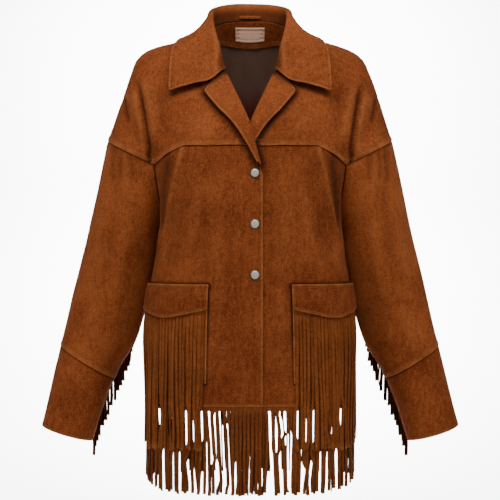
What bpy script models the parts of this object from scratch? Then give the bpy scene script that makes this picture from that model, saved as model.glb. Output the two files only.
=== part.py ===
"""A fringed suede jacket in its worn shape, hollow, with nobody in it.

Metres, +Z up, the front faces -Y. The origin is the middle of the neck, level with the tops of the shoulders.
Each cut piece is a thin wall. Its outer face is a grid of points worked out from the garment's sizes,
and its inner face is the same grid moved in along the normals.
"""

import math

import bmesh
import bpy
import numpy as np
from mathutils.bvhtree import BVHTree

# ---------------------------------------------------------------- driving dimensions
WALL = 0.0015  # suede with its backing
SEAM = 0.0003  # what neighbouring pieces leave between them
HEM_Z = -0.657
YOKE_Z = -0.210  # the front yoke seam, level across the chest
BACK_YOKE_Z = -0.215
YOKE_CORNER_Z = -0.241  # where the yoke seam meets the armhole
UNDERARM_Z = -0.345
YOKE_BEND_ANGLE = math.radians(52)  # the front yoke seam turns down from here to the armhole
LAP = 0.0215  # each front crosses the middle by this much
LAPEL_END_Z = -0.2485  # the roll ends and the front edge hangs straight
CUFF_START = 0.715  # share of the sleeve's length above the cuff seam

POCKET_REF_Z = -0.50  # distances round the body are measured along this section
POCKET_TOP_Z = -0.450
FLAP_SIDE_DROP, FLAP_POINT_DROP = 0.042, 0.059
FLAP_START, FLAP_WIDTH = 0.0725, 0.155  # arc from the middle of the front, and width
PATCH_TOP_Z, PATCH_BOTTOM_Z = -0.454, -0.618
POCKET_FRINGE_ROOT_Z, POCKET_FRINGE_TIP_Z = -0.522, -0.731

HEM_FRINGE_ROOT_Z, HEM_FRINGE_TIP_Z = -0.664, -0.806
HEM_PITCH, POCKET_PITCH = 0.0078, 0.0066
SLEEVE_STRANDS, SLEEVE_STRAND_LENGTH = 20, 0.094
STRAND_TAPER = 0.72  # a strand's width at its tip, as a share of its pitch

SNAP_RADIUS, SNAP_HEIGHT = 0.0078, 0.0032
SNAP_X = 0.0085
SNAP_SIDES = 16
SNAP_PROFILE = ((0.93, 0.0), (1.0, 0.25), (0.92, 0.62), (0.62, 0.9), (0.3, 1.0))  # share of radius, share of height
SNAP_ZS = (-0.259, -0.346, -0.433)

# Torso sections from the hem up: height, half width, depth in front of and behind the arm plane.
TORSO = np.array(
    [
        (-0.820, 0.1838, 0.148, 0.128),
        (-0.657, 0.1838, 0.148, 0.128),
        (-0.600, 0.1848, 0.147, 0.127),
        (-0.520, 0.1848, 0.145, 0.122),
        (-0.450, 0.1768, 0.142, 0.116),
        (-0.390, 0.1660, 0.139, 0.112),
        (-0.345, 0.1590, 0.137, 0.111),
        (-0.295, 0.1670, 0.135, 0.114),
        (-0.241, 0.1850, 0.131, 0.118),
        (-0.200, 0.1910, 0.127, 0.119),
        (-0.150, 0.1950, 0.119, 0.117),
    ]
)
TORSO_CENTRE_Y = -0.025  # the widest part of each section
TORSO_POWER = 2.5  # superellipse: 2 is an ellipse, more is squarer

# The armhole on the torso: height, angle of its front edge, angle of its back edge (0 is the middle of the front).
ARMHOLE_LOW = np.array(
    [
        (-0.345, 100.0, 100.0),
        (-0.325, 89.0, 111.0),
        (-0.295, 80.5, 117.5),
        (-0.270, 76.0, 120.0),
        (-0.241, 73.0, 121.0),
    ]
)
SIDE_SEAM_ANGLES = (100.0, 94.0)  # at the underarm and at the hem

# Curves of the right-hand half (x > 0); the left-hand half mirrors them.
NECK_SIDE = (0.074, 0.005, 0.008)
SLEEVE_TOP = (0.256, 0.000, -0.194)
SHOULDER = np.array(
    [
        NECK_SIDE,
        (0.124, 0.005, -0.0122),
        (0.168, 0.005, -0.0240),
        (0.190, 0.005, -0.0335),
        (0.2045, 0.005, -0.0465),
        (0.216, 0.004, -0.073),
        (0.231, 0.003, -0.117),
        (0.244, 0.001, -0.156),
        SLEEVE_TOP,
    ]
)
FRONT_YOKE_FULLNESS = ((0.15, -0.04), (0.21, -0.12))  # at the shoulder and at the seam, and how it changes outwards
BACK_MIDDLE = np.array([(0, 0.070, 0.032), (0, 0.092, -0.030), (0, 0.112, -0.110), (0, 0.119, -0.165)])
BACK_YOKE_FULLNESS = ((0.0, 0.05, -0.14), (0.0, 0.15, 0.0), (0.19, -0.10))  # from the neck, the shoulder and the seam
BACK_YOKE_DROP_ANGLE = math.radians(150)  # the back yoke seam turns down from here to the armhole
BACK_NECK = np.array(
    [
        (0.000, 0.070, 0.032),
        (0.022, 0.068, 0.0315),
        (0.044, 0.058, 0.028),
        (0.064, 0.036, 0.019),
        NECK_SIDE,
    ]
)
# The yoke's front edge: round the neck, then down just inside the lapel's fold.
YOKE_EDGE = np.array(
    [
        NECK_SIDE,
        (0.0735, -0.025, -0.010),
        (0.0670, -0.049, -0.032),
        (0.0570, -0.065, -0.054),
        (0.0452, -0.0785, -0.077),
        (0.0225, -0.1025, -0.126),
        (0.0010, -0.1205, -0.1755),
    ]
)
YOKE_EDGE_END_X, LAPEL_END_X = -0.0078, -0.0175
SLEEVE_SEAM_FRONT = np.array([(0.243, -0.041, -0.203), (0.213, -0.067, -0.219)])
SLEEVE_SEAM_BACK = np.array([(0.243, 0.046, -0.203), (0.213, 0.074, -0.219)])

# Sleeve sections: share of the length, outer point, inner point, depth in front and behind.
SLEEVE = np.array(
    [
        # share, outer x, outer z, inner x, inner z, front y, back y
        (0.000, 0.2560, -0.194, 0.1570, -0.345, -0.074, 0.082),
        (0.150, 0.2738, -0.271, 0.1710, -0.402, -0.058, 0.096),
        (0.350, 0.2974, -0.374, 0.1875, -0.478, -0.042, 0.098),
        (0.550, 0.3225, -0.477, 0.2105, -0.556, -0.036, 0.089),
        (0.715, 0.3427, -0.562, 0.2450, -0.622, -0.033, 0.079),
        (0.850, 0.3590, -0.631, 0.2660, -0.677, -0.034, 0.070),
        (1.000, 0.3768, -0.7055, 0.2850, -0.7335, -0.036, 0.063),
    ]
)
ARMHOLE_FADE = 0.32  # share of the sleeve over which the armhole's form dies away

# Collar sections from the middle of the back to the gorge: the points of its fold, two along its leaf, and its edge.
COLLAR = np.array(
    [
        # fold, upper leaf, lower leaf, edge
        [(0.000, 0.076, 0.066), (0.000, 0.095, 0.049), (0.000, 0.107, 0.014), (0.000, 0.114, -0.022)],
        [(0.020, 0.074, 0.0655), (0.026, 0.092, 0.049), (0.029, 0.104, 0.014), (0.031, 0.112, -0.022)],
        [(0.042, 0.064, 0.062), (0.054, 0.078, 0.047), (0.062, 0.092, 0.013), (0.068, 0.100, -0.022)],
        [(0.060, 0.040, 0.054), (0.074, 0.048, 0.041), (0.092, 0.060, 0.013), (0.108, 0.070, -0.012)],
        [(0.0675, 0.005, 0.043), (0.0775, 0.006, 0.0305), (0.0925, 0.008, 0.0085), (0.124, 0.008, -0.0080)],
        [(0.0655, -0.025, 0.022), (0.079, -0.031, 0.016), (0.101, -0.036, -0.004), (0.134, -0.038, -0.024)],
        [(0.0590, -0.045, -0.008), (0.078, -0.056, -0.012), (0.108, -0.062, -0.026), (0.1385, -0.064, -0.045)],
        [(0.0520, -0.060, -0.033), (0.072, -0.072, -0.044), (0.106, -0.078, -0.058), (0.1410, -0.078, -0.077)],
        [(0.0420, -0.0800, -0.075), (0.0663, -0.087, -0.0912), (0.1007, -0.092, -0.1005), (0.1420, -0.088, -0.1138)],
    ]
)
FOLD_RADIUS = 0.0026

# Lapel in the front view: its fold and its outer edge, top to bottom, as x and z.
LAPEL_FOLD = np.array([(0.0420, -0.0785), (0.0195, -0.126), (-0.0017, -0.1755), (-0.0108, -0.211), (-0.0192, -0.243)])
LAPEL_EDGE = np.array([(0.0800, -0.1130), (0.0560, -0.1430), (0.0320, -0.1680), (0.0060, -0.2070), (-0.0112, -0.239)])
LAPEL_NOTCH = (0.0650, -0.0945)

# The chest fold that runs from the yoke's bend to the side, and the crease over the shoulder.
RIDGE_TOP_ANGLE, RIDGE_LOW_ANGLE = 53.0, 84.0
RIDGE_TOP_Z, RIDGE_LOW_Z = -0.215, -0.385
RIDGE_HEIGHT, RIDGE_SPREAD = 0.006, 9.0
RIDGE_FADE_LOW, RIDGE_FADE_HIGH = (-0.415, -0.33), (-0.235, -0.21)
RIDGE_HOLLOW, RIDGE_HOLLOW_OFF = 0.9, 1.7  # the dip beside the fold, as shares of its height and spread
CREASE_DEPTH, CREASE_SPREAD = 0.011, 0.07
CREASE_LINE = (0.80, 0.18)  # s at the shoulder, and how far it moves out by the seam
CREASE_FADES = ((0.10, 0.6), (0.9, 1.0), (0.0, 0.09))
CREASE_PUSH = np.array([-0.35, 1.0, -0.2])

# How finely each piece is drawn. Pieces that are sewn together share their rows or columns at the seam.
COLUMNS = np.array([0, 0.08, 0.16, 0.26, 0.37, 0.48, 0.58, 0.67, 0.75, 0.83, 0.915, 1])
YOKE_ROWS = np.array([0, 0.07, 0.17, 0.3, 0.44, 0.58, 0.72, 0.86, 1])
ARMHOLE_ROWS = 4
PANEL_ROWS = np.array([0, 0.0625, 0.125, 0.1875, 0.25, 0.34, 0.45, 0.57, 0.7, 0.85, 1])
NECK_SHARE = 0.3  # share of the back yoke's top edge that is neck
BACK_COLUMNS = np.concatenate([[0, 0.1, 0.2], NECK_SHARE + (1 - NECK_SHARE) * COLUMNS])
SLEEVE_ROWS = np.array([0, 0.04, 0.09, 0.16, 0.25, 0.36, 0.48, 0.6, CUFF_START])
CUFF_ROWS = np.linspace(CUFF_START, 1, 4)
COLLAR_STATIONS = np.concatenate([np.linspace(0, 3.4, 6), np.linspace(4, 8, 9)])
SHARP_ANGLE = math.radians(50)

# Small distances between layers.
UNDER_DROP, LAPEL_DROP, UNDER_RAMP = 0.0034, 0.0074, (0.026, 0.056)
LAPEL_DROP_ZS, UNDER_DROP_DEPTHS = (-0.31, -0.262), (0.11, 0.16)
UNDERARM_EASE = 0.0006
STAND_INSET = 0.0034  # the collar's stand is sewn inside the neck edge
STAND_END_STATIONS = (6.5, 8)
STAND_END = np.array([0.0032, 0.0035, 0.0036])  # its front end lies further in, clear of the lapel
LEAF_LIFT, LAPEL_LIFT, FOLD_BACK, LAPEL_ROWS, NEAR = 0.0042, 0.0044, 0.005, 12, 0.02
LAPEL_FOLD_SECTION = ((0.0006, 0.0012), (0.0, -0.0008), (0.0014, -0.0026))  # x and y from the fold
INSIDE_GAP, FACING_WALL, LINING_WALL, LABEL_WALL, LABEL_GAP = 0.0024, 0.0012, 0.001, 0.0008, 0.0006
FACING_REACH, LINING_REACH, LINING_BOTTOM = 0.36, 0.55, 0.94
FACING_TOP, FACING_BOTTOM = 0.012, 0.2
LABEL_SPAN, LABEL_REACH = (0.045, 0.155), 0.077
LOOP_Z, LOOP_HEIGHT, LOOP_REACH, LOOP_BULGE, LOOP_WALL = 0.0385, 0.005, 0.0195, 0.003, 0.001
LAID_GAP, FRINGE_GAP, FRINGE_WALL, FRINGE_FLARE = 0.0006, 0.0004, 0.0012, 0.0006
POCKET_INSET, STRIP_INSET = 0.001, 0.0015  # the patch and the fringe strip are narrower than the flap
EDGE_SEARCH = 0.012  # how far past a free edge its depth is still taken from it
LOOP_GAP = 0.0005
STRIP_ZS = (-0.486, POCKET_FRINGE_ROOT_Z)
HEM_TIP_RISE, HEM_TIP_POWER, HEM_TIP_RAG = 0.018, 14, 0.004
HEM_LEAN, POCKET_LEAN, POCKET_TIP_RAG = 0.004, 0.002, 0.003
SLEEVE_TIP_RAG, SLEEVE_TAPER = 0.004, 0.84
SLEEVE_FRINGE_SPAN, SLEEVE_FRINGE_TURNS = (0.27, 0.885), (0.675, 0.655)
SLEEVE_AXIS_POINT = (0.27, 0.02, -0.45)
SNAP_GAP = 0.0005
BODY_POINT = np.array([0.0, 0.0, -0.25])
YOKE_POINT = (0.1, 0.01, -0.2)  # points inside the yokes and the sleeve, to tell out from in
ARM_POINT = (0.24, 0.01, -0.32)

FINISHES = {  # colour, roughness, metallic
    "suede": ((0.23, 0.075, 0.022), 0.95, 0.0),
    "satin": ((0.060, 0.040, 0.038), 0.45, 0.0),
    "label": ((0.60, 0.42, 0.33), 0.8, 0.0),
    "metal": ((0.50, 0.47, 0.44), 0.35, 1.0),
}


# ---------------------------------------------------------------- curves and tables
def smooth(knots, values, at):
    """A cubic through the values at the knots, read at the given places."""
    knots, values = np.asarray(knots, float), np.asarray(values, float)
    at = np.clip(np.asarray(at, float), knots[0], knots[-1])
    slopes = np.gradient(values, knots, axis=0)
    i = np.clip(np.searchsorted(knots, at, side="right") - 1, 0, len(knots) - 2)
    step = knots[i + 1] - knots[i]
    u = (at - knots[i]) / step
    u, step = (part.reshape(part.shape + (1,) * (values.ndim - 1)) for part in (u, step))
    start, end = values[i], values[i + 1]
    leave, arrive = slopes[i] * step, slopes[i + 1] * step
    return (
        start * (1 + 2 * u) * (1 - u) ** 2
        + leave * u * (1 - u) ** 2
        + end * u * u * (3 - 2 * u)
        + arrive * u * u * (u - 1)
    )


def along(points, share):
    """The point at each share of the length of a smooth curve through the points."""
    points = np.asarray(points, float)
    steps = np.linalg.norm(np.diff(points, axis=0), axis=1)
    return smooth(np.concatenate([[0], np.cumsum(steps)]) / steps.sum(), points, share)


def ramp(value, start, end):
    """0 before start, 1 after end, and an even S between them."""
    u = np.clip((np.asarray(value, float) - start) / (end - start), 0, 1)
    return u * u * (3 - 2 * u)


def unit(vectors):
    return vectors / np.maximum(np.linalg.norm(vectors, axis=-1, keepdims=True), 1e-12)


def mirrored(points, side):
    """Right-hand points for side 1, and their mirror image for side -1."""
    return points * np.array([side, 1.0, 1.0])


# ---------------------------------------------------------------- the torso's form
def torso(angle, z):
    """The torso's outer face. The angle is 0 at the middle of the front and 180 degrees at the middle of the back."""
    angle, z = np.broadcast_arrays(np.asarray(angle, float), np.asarray(z, float))
    half_width, front, back = np.moveaxis(smooth(TORSO[:, 0], TORSO[:, 1:], z), -1, 0)
    across, ahead = np.sin(angle), np.cos(angle)
    depth = np.where(ahead > 0, front + TORSO_CENTRE_Y, back - TORSO_CENTRE_Y)
    radius = (np.abs(across / half_width) ** TORSO_POWER + np.abs(ahead / depth) ** TORSO_POWER) ** (-1 / TORSO_POWER)
    radius = radius + chest_ridge(np.abs(angle), z)
    return np.stack([radius * across, TORSO_CENTRE_Y - radius * ahead, z], axis=-1)


def chest_ridge(angle, z):
    """A soft fold from the yoke's bend down to the side, where the flat front turns to the underarm."""
    share = np.clip((RIDGE_TOP_Z - z) / (RIDGE_TOP_Z - RIDGE_LOW_Z), 0, 1)
    middle = RIDGE_TOP_ANGLE + (RIDGE_LOW_ANGLE - RIDGE_TOP_ANGLE) * share
    off = (np.degrees(angle) - middle) / RIDGE_SPREAD
    strength = ramp(z, *RIDGE_FADE_LOW) * (1 - ramp(z, *RIDGE_FADE_HIGH))
    return RIDGE_HEIGHT * strength * (np.exp(-off * off) - RIDGE_HOLLOW * np.exp(-((off - RIDGE_HOLLOW_OFF) ** 2)))


def outward(surface, a, b, inside, step=1e-4):
    """Outward normals of surface(a, b), pointing away from the point inside."""
    across = surface(a + step, b) - surface(a - step, b)
    down = surface(a, b + step) - surface(a, b - step)
    normal = unit(np.cross(across, down))
    facing = np.sum(normal * (surface(a, b) - np.asarray(inside)), axis=-1, keepdims=True)
    return normal * np.where(facing < 0, -1.0, 1.0)


def on_torso(angle, z, out):
    """Points of the torso moved out by the given distance."""
    axis = np.stack([np.zeros_like(z), np.full_like(z, TORSO_CENTRE_Y), z], axis=-1)
    return torso(angle, z) + outward(torso, angle, z, axis) * np.asarray(out)[..., None]


def angle_at(arc, z):
    """The angle of a point that lies this far round from the middle of the front, at height z."""
    angles = np.linspace(0, math.pi, 361)
    ring = torso(angles, np.full(361, z))
    lengths = np.concatenate([[0], np.cumsum(np.linalg.norm(np.diff(ring, axis=0), axis=1))])
    return np.sign(arc) * np.interp(np.abs(arc), lengths, angles)


def angle_of_x(x, z):
    """The angle of the torso's front at a given x, near the middle."""
    angles = np.linspace(-0.6, 0.6, 241)
    return np.interp(x, torso(angles, np.full(241, z))[:, 0], angles)


def armhole_angle(z, back=False):
    return np.radians(smooth(ARMHOLE_LOW[:, 0], ARMHOLE_LOW[:, 2 if back else 1], z))


def side_angle(z, back=False):
    """The edge of a body panel: the armhole down to the underarm, then the side seam."""
    low = np.interp(-z, (-UNDERARM_Z, -HEM_Z), np.radians(SIDE_SEAM_ANGLES))
    return np.where(z > UNDERARM_Z, armhole_angle(z, back), low)


def yoke_z(angle):
    """Height of the front yoke seam: level, then down to the armhole."""
    corner = armhole_angle(YOKE_CORNER_Z)
    return YOKE_Z + (YOKE_CORNER_Z - YOKE_Z) * np.clip((np.abs(angle) - YOKE_BEND_ANGLE) / (corner - YOKE_BEND_ANGLE), 0, 1)


def back_yoke_z(angle):
    corner = armhole_angle(YOKE_CORNER_Z, back=True)
    return BACK_YOKE_Z + (YOKE_CORNER_Z - BACK_YOKE_Z) * ramp(-np.abs(angle), -BACK_YOKE_DROP_ANGLE, -corner)


def edge_x(z):
    """The front edge below the yoke: along the lapel's fold, then straight down."""
    fold = np.interp(-z, (-YOKE_Z, -LAPEL_END_Z), (YOKE_EDGE_END_X, LAPEL_END_X))
    return np.where(z > LAPEL_END_Z, fold, -LAP + (LAPEL_END_X + LAP) * ramp(z, LAPEL_END_Z - 0.016, LAPEL_END_Z))


# ---------------------------------------------------------------- the yokes' form
def bridge(top, leave, bottom, arrive, t):
    """Cubic curves from the top points to the bottom points, with the given end tangents."""
    return (
        top * (1 + 2 * t) * (1 - t) ** 2
        + leave * t * (1 - t) ** 2
        + bottom * t * t * (3 - 2 * t)
        + arrive * t * t * (t - 1)
    )


def between(form, left, right, s, t, near):
    """The form, drawn to a left edge at s = 0 by the weight near, and to a right edge at s = 1."""
    zero, one = np.zeros_like(t), np.ones_like(t)
    near, far = near[..., None], (s**3)[..., None]
    return form(s, t) + near * (left(t) - form(zero, t)) + far * (right(t) - form(one, t))


def sleeve_seam(share, back=False):
    """The armhole from the top of the sleeve to the yoke's corner."""
    corner = torso(armhole_angle(YOKE_CORNER_Z, back), YOKE_CORNER_Z)
    middle = SLEEVE_SEAM_BACK if back else SLEEVE_SEAM_FRONT
    return along(np.vstack([SLEEVE_TOP, middle, corner]), share)


def front_yoke(s, t):
    """s runs from the neck and front edge to the sleeve, t from the shoulder's top to the yoke seam."""
    first, last = angle_of_x(YOKE_EDGE_END_X, YOKE_Z), float(armhole_angle(YOKE_CORNER_Z))
    left_edge = np.vstack([YOKE_EDGE, torso(first, YOKE_Z)])

    def form(s, t):
        angle = first + (last - first) * s
        z = yoke_z(angle)
        top, bottom = along(SHOULDER, s), torso(angle, z)
        (leave, leave_change), (arrive, arrive_change) = FRONT_YOKE_FULLNESS
        forward = np.array([0.0, -1.0, 0.0]) * (leave + leave_change * s)[..., None]
        down = unit(torso(angle, z - 0.001) - bottom) * (arrive + arrive_change * s)[..., None]
        return bridge(top, forward, bottom, down, t[..., None])

    points = between(form, lambda t: along(left_edge, t), sleeve_seam, s, t, (1 - s) ** 3)
    return points + shoulder_crease(s, t)


def shoulder_crease(s, t):
    """A deep soft trough from the shoulder down to the yoke's corner, where chest turns to arm."""
    middle = CREASE_LINE[0] + CREASE_LINE[1] * t
    starts, ends, edge = CREASE_FADES
    along_it = ramp(t, *starts) * (1 - ramp(t, *ends)) * ramp(1 - s, *edge)
    depth = CREASE_DEPTH * along_it * np.exp(-(((s - middle) / CREASE_SPREAD) ** 2))
    return depth[..., None] * CREASE_PUSH


def back_yoke(s, t):
    """s runs from the middle of the back to the sleeve, t from the neck and shoulder down to the yoke seam."""
    first, last = math.pi, float(armhole_angle(YOKE_CORNER_Z, back=True))
    middle = np.vstack([BACK_MIDDLE, torso(math.pi, BACK_YOKE_Z)])
    from_neck, from_shoulder, (arrive, arrive_change) = BACK_YOKE_FULLNESS

    def form(s, t):
        on_neck = (s < NECK_SHARE)[..., None]
        neck = along(BACK_NECK, np.clip(s / NECK_SHARE, 0, 1))
        ridge = along(SHOULDER, np.clip((s - NECK_SHARE) / (1 - NECK_SHARE), 0, 1))
        angle = first + (last - first) * s
        z = back_yoke_z(angle)
        bottom = torso(angle, z)
        turn = ramp(s, 0, NECK_SHARE)[..., None]
        leave = np.array(from_neck) * (1 - turn) + np.array(from_shoulder) * turn
        down = unit(torso(angle, z - 0.001) - bottom) * (arrive + arrive_change * s)[..., None]
        return bridge(np.where(on_neck, neck, ridge), leave * (1 - 0.25 * s)[..., None], bottom, down, t[..., None])

    return between(form, lambda t: along(middle, t), lambda t: sleeve_seam(t, back=True), s, t, (1 - s * s) ** 6)


# ---------------------------------------------------------------- the sleeves' form
def armhole(turn):
    """The armhole as a ring: 0 at the top of the sleeve, 0.25 in front, 0.5 under the arm, 0.75 behind."""
    turn = np.mod(np.asarray(turn, float), 1.0)
    back = turn > 0.5
    half = np.where(back, 1 - turn, turn)
    seam = np.clip(half / 0.25, 0, 1)
    z = YOKE_CORNER_Z + (UNDERARM_Z - YOKE_CORNER_Z) * np.clip((half - 0.25) / 0.25, 0, 1)
    upper = np.where(back[..., None], sleeve_seam(seam, back=True), sleeve_seam(seam))
    angle = np.where(back, armhole_angle(z, back=True), armhole_angle(z))
    return np.where((half < 0.25)[..., None], upper, torso(angle, z))


def sleeve(turn, share):
    """The sleeve's outer face: share 0 at the armhole, 1 at the cuff's edge."""
    turn, share = np.broadcast_arrays(np.asarray(turn, float), np.asarray(share, float))

    def ring(share):
        outer_x, outer_z, inner_x, inner_z, front, back = np.moveaxis(smooth(SLEEVE[:, 0], SLEEVE[:, 1:], share), -1, 0)
        out, ahead = np.cos(2 * math.pi * turn), np.sin(2 * math.pi * turn)
        x = (outer_x + inner_x) / 2 + (outer_x - inner_x) / 2 * out
        z = (outer_z + inner_z) / 2 + (outer_z - inner_z) / 2 * out
        y = (front + back) / 2 - (back - front) / 2 * ahead
        return np.stack([x, y, z], axis=-1)

    fade = (np.clip(1 - share / ARMHOLE_FADE, 0, 1) ** 2)[..., None]
    return ring(share) + fade * (armhole(turn) - ring(np.zeros_like(share)))


# ---------------------------------------------------------------- from grids to solids
def facing_out(normals, points, inside):
    """The normals, turned as a whole to point away from the point inside."""
    return normals if np.sum(normals * (points - np.asarray(inside))) > 0 else -normals


def surface_normals(surface, t, s, inside, step=2e-3):
    """Unit normals of surface(t, s) on the unit square."""
    down = surface(np.clip(t + step, 0, 1), s) - surface(np.clip(t - step, 0, 1), s)
    across = surface(t, np.clip(s + step, 0, 1)) - surface(t, np.clip(s - step, 0, 1))
    return facing_out(unit(np.cross(across, down)), surface(t, s), inside)


def grid_normals(grid, inside):
    """Unit normals of a grid of points, rows by columns."""
    normals = unit(np.cross(np.gradient(grid, axis=1), np.gradient(grid, axis=0)))
    return facing_out(normals, grid, inside)


def trimmed(grid, top=0.0, bottom=0.0, left=0.0, right=0.0):
    """The grid with its edges drawn in along the cloth by the given distances."""
    grid = grid.copy()
    grid[0] += unit(grid[1] - grid[0]) * top
    grid[-1] += unit(grid[-2] - grid[-1]) * bottom
    grid[:, 0] += unit(grid[:, 1] - grid[:, 0]) * left
    grid[:, -1] += unit(grid[:, -2] - grid[:, -1]) * right
    return grid


def material(name, colour, roughness, metallic=0.0):
    made = bpy.data.materials.new(name)
    made.use_nodes = True
    shader = made.node_tree.nodes["Principled BSDF"]
    shader.inputs["Base Color"].default_value = (*colour, 1.0)
    shader.inputs["Roughness"].default_value = roughness
    shader.inputs["Metallic"].default_value = metallic
    return made


def add_solid(name, points, faces, finish):
    """One closed body from points and faces, with its faces turned out."""
    mesh = bpy.data.meshes.new(name)
    mesh.from_pydata([tuple(p) for p in points], [], faces)
    shape = bmesh.new()
    shape.from_mesh(mesh)
    bmesh.ops.recalc_face_normals(shape, faces=shape.faces)
    shape.to_mesh(mesh)
    shape.free()
    mesh.shade_smooth()
    mesh.set_sharp_from_angle(angle=SHARP_ANGLE)
    colour, roughness, metallic = FINISHES[finish]
    mesh.materials.append(material(f"{name}_{finish}", colour, roughness, metallic))
    solid = bpy.data.objects.new(name, mesh)
    bpy.context.scene.collection.objects.link(solid)
    return solid


def add_wall(name, outer, inner, finish, ring=False):
    """A wall between two grids of points. In a ring the last column joins the first."""
    rows, columns = outer.shape[:2]
    size = rows * columns
    last = columns if ring else columns - 1
    faces = []
    for r in range(rows - 1):
        for c in range(last):
            a, b = r * columns + c, r * columns + (c + 1) % columns
            for corners in ((a, b, b + columns), (a, b + columns, a + columns)):
                faces += [corners, tuple(size + i for i in reversed(corners))]
    for c in range(last):
        for row in (0, rows - 1):
            a, b = row * columns + c, row * columns + (c + 1) % columns
            faces.append((a, b, size + b, size + a))
    if not ring:
        for r in range(rows - 1):
            for column in (0, columns - 1):
                a, b = r * columns + column, (r + 1) * columns + column
                faces.append((a, b, size + b, size + a))
    return add_solid(name, np.concatenate([outer.reshape(-1, 3), inner.reshape(-1, 3)]), faces, finish)


def add_fringe(name, outer, inner, levels, finish):
    """A strip with strands that grow from its lower edge.

    outer and inner are the strip's two faces, two rows of points, one more column than there are strands.
    Each level is a list with 4 corners for every strand: outer left, outer right, inner right, inner left.
    """
    columns = outer.shape[1]
    points = [p for face in (outer, inner) for row in face for p in row]

    def at(face, row, column):
        return (face * 2 + row) * columns + column

    faces = []
    for c in range(columns - 1):
        for face in (0, 1):
            faces.append((at(face, 0, c), at(face, 0, c + 1), at(face, 1, c + 1), at(face, 1, c)))
        faces.append((at(0, 0, c), at(0, 0, c + 1), at(1, 0, c + 1), at(1, 0, c)))
        ring = [at(0, 1, c), at(0, 1, c + 1), at(1, 1, c + 1), at(1, 1, c)]
        for level in levels:
            lower = list(range(len(points), len(points) + 4))
            points += list(level[c])
            faces += [(ring[k], ring[(k + 1) % 4], lower[(k + 1) % 4], lower[k]) for k in range(4)]
            ring = lower
        faces.append(tuple(ring))
    for c in (0, columns - 1):
        faces.append((at(0, 0, c), at(0, 1, c), at(1, 1, c), at(1, 0, c)))
    return add_solid(name, np.array(points), faces, finish)


def sway(index, salt):
    """A steady number from -1 to 1 for a strand. Neighbours lean nearly alike, as they do on real fringe."""
    return 0.62 * math.sin(index * 0.41 + salt) + 0.28 * math.sin(index * 0.93 + 2.1 * salt)


def ragged(index, salt):
    """A steady number from -1 to 1 that differs from strand to strand."""
    return math.sin(index * 12.9898 + salt * 78.233) * math.cos(index * 4.1414 + salt)


def hanging(outer, inner, tips, salt, lean, taper=STRAND_TAPER, shares=(1.0,), path=None):
    """Corners of the strands below a strip's lower edge, one list for each share of their length.

    A strand falls straight down, or follows path(column, z), which gives the middle of its outer face.
    """
    levels = [[] for _ in shares]
    for c in range(outer.shape[1] - 1):
        left, right = outer[1, c], outer[1, c + 1]
        depth = (inner[1, c] + inner[1, c + 1] - left - right) / 2
        middle, half = (left + right) / 2, (right - left) / 2
        half = half * np.array([1, 1, 0]) * taper
        aside = unit(half) * lean * sway(c, salt)
        for share, level in zip(shares, levels):
            z = middle[2] + (tips[c] - middle[2]) * share
            centre = np.array([middle[0], middle[1], z]) if path is None else path(c, z)
            centre = centre + aside * share * share
            level.append((centre - half, centre + half, centre + half + depth, centre - half + depth))
    return levels


# ---------------------------------------------------------------- body panels
def both_halves(half):
    """A left-hand and a right-hand half joined at the middle, which is the half's first column."""
    return np.concatenate([mirrored(half, -1)[:, :0:-1], half], axis=1)


def under_drop(x, z):
    """How far the under front lies below the outer one, which laps over it, and more where its lapel folds."""
    depth = UNDER_DROP + (LAPEL_DROP - UNDER_DROP) * ramp(z, *LAPEL_DROP_ZS)
    return depth * (1 - ramp(x, *UNDER_RAMP)) * ramp(-z, *UNDER_DROP_DEPTHS)


def front_panel(under):
    """Outer and inner face of the right-hand front below the yoke, from its front edge to the side."""
    t, s = np.meshgrid(PANEL_ROWS, COLUMNS, indexing="ij")
    corner = float(armhole_angle(YOKE_CORNER_Z))
    first = angle_of_x(YOKE_EDGE_END_X, YOKE_Z)
    top = yoke_z(first + (corner - first) * s)
    z = top + (HEM_Z - top) * t
    start = np.vectorize(angle_of_x)(edge_x(z), z)
    angle = start + (side_angle(np.minimum(z, YOKE_CORNER_Z)) - start) * s
    out = -under_drop(torso(angle, z)[..., 0], z) if under else np.zeros_like(z)
    return panel_faces(angle, z, out, 0.25 + PANEL_ROWS[: ARMHOLE_ROWS + 1])


def panel_faces(angle, z, out, turns):
    """Outer and inner face of a body panel whose last column starts along the armhole."""
    normals = torso_normals(torso(angle, z))
    outer = torso(angle, z) + normals * out[..., None]
    normals[: len(turns), -1] = seam_normals(turns, normals[: len(turns), -1])
    return outer, outer - normals * WALL


def seam_normals(turn, own):
    """Normals along the armhole: shared by body and sleeve above the arm, each piece's own below it."""
    half = np.minimum(turn, 1 - turn)
    shared = unit(sleeve_normals(turn) + body_normals(turn))
    share = ramp(half, 0.25, 0.36)[..., None]
    return unit(shared * (1 - share) + own * share)


def sleeve_normals(turn):
    """The sleeve's normals at the armhole."""
    turn = np.asarray(turn, float)
    share = np.full_like(turn, 0.01)
    around = sleeve(turn + 2e-3, share) - sleeve(turn - 2e-3, share)
    return facing_out(unit(np.cross(around, sleeve(turn, share + 0.01) - sleeve(turn, share))),
                      sleeve(turn, share), ARM_POINT)


def body_normals(turn):
    """The yokes' and panels' normals at the armhole."""
    turn = np.asarray(turn, float)
    half = np.minimum(turn, 1 - turn)
    t, s = np.clip(half / 0.25, 0, 1), np.ones_like(turn)
    front = surface_normals(lambda t, s: front_yoke(s, t), t, s, YOKE_POINT)
    back = surface_normals(lambda t, s: back_yoke(s, t), t, s, YOKE_POINT)
    upper = np.where((turn > 0.5)[..., None], back, front)
    upper = unit(np.where((half < 0.001)[..., None], upper * np.array([1, 0, 1]), upper))
    return np.where((half < 0.25)[..., None], upper, torso_normals(armhole(turn)))


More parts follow.
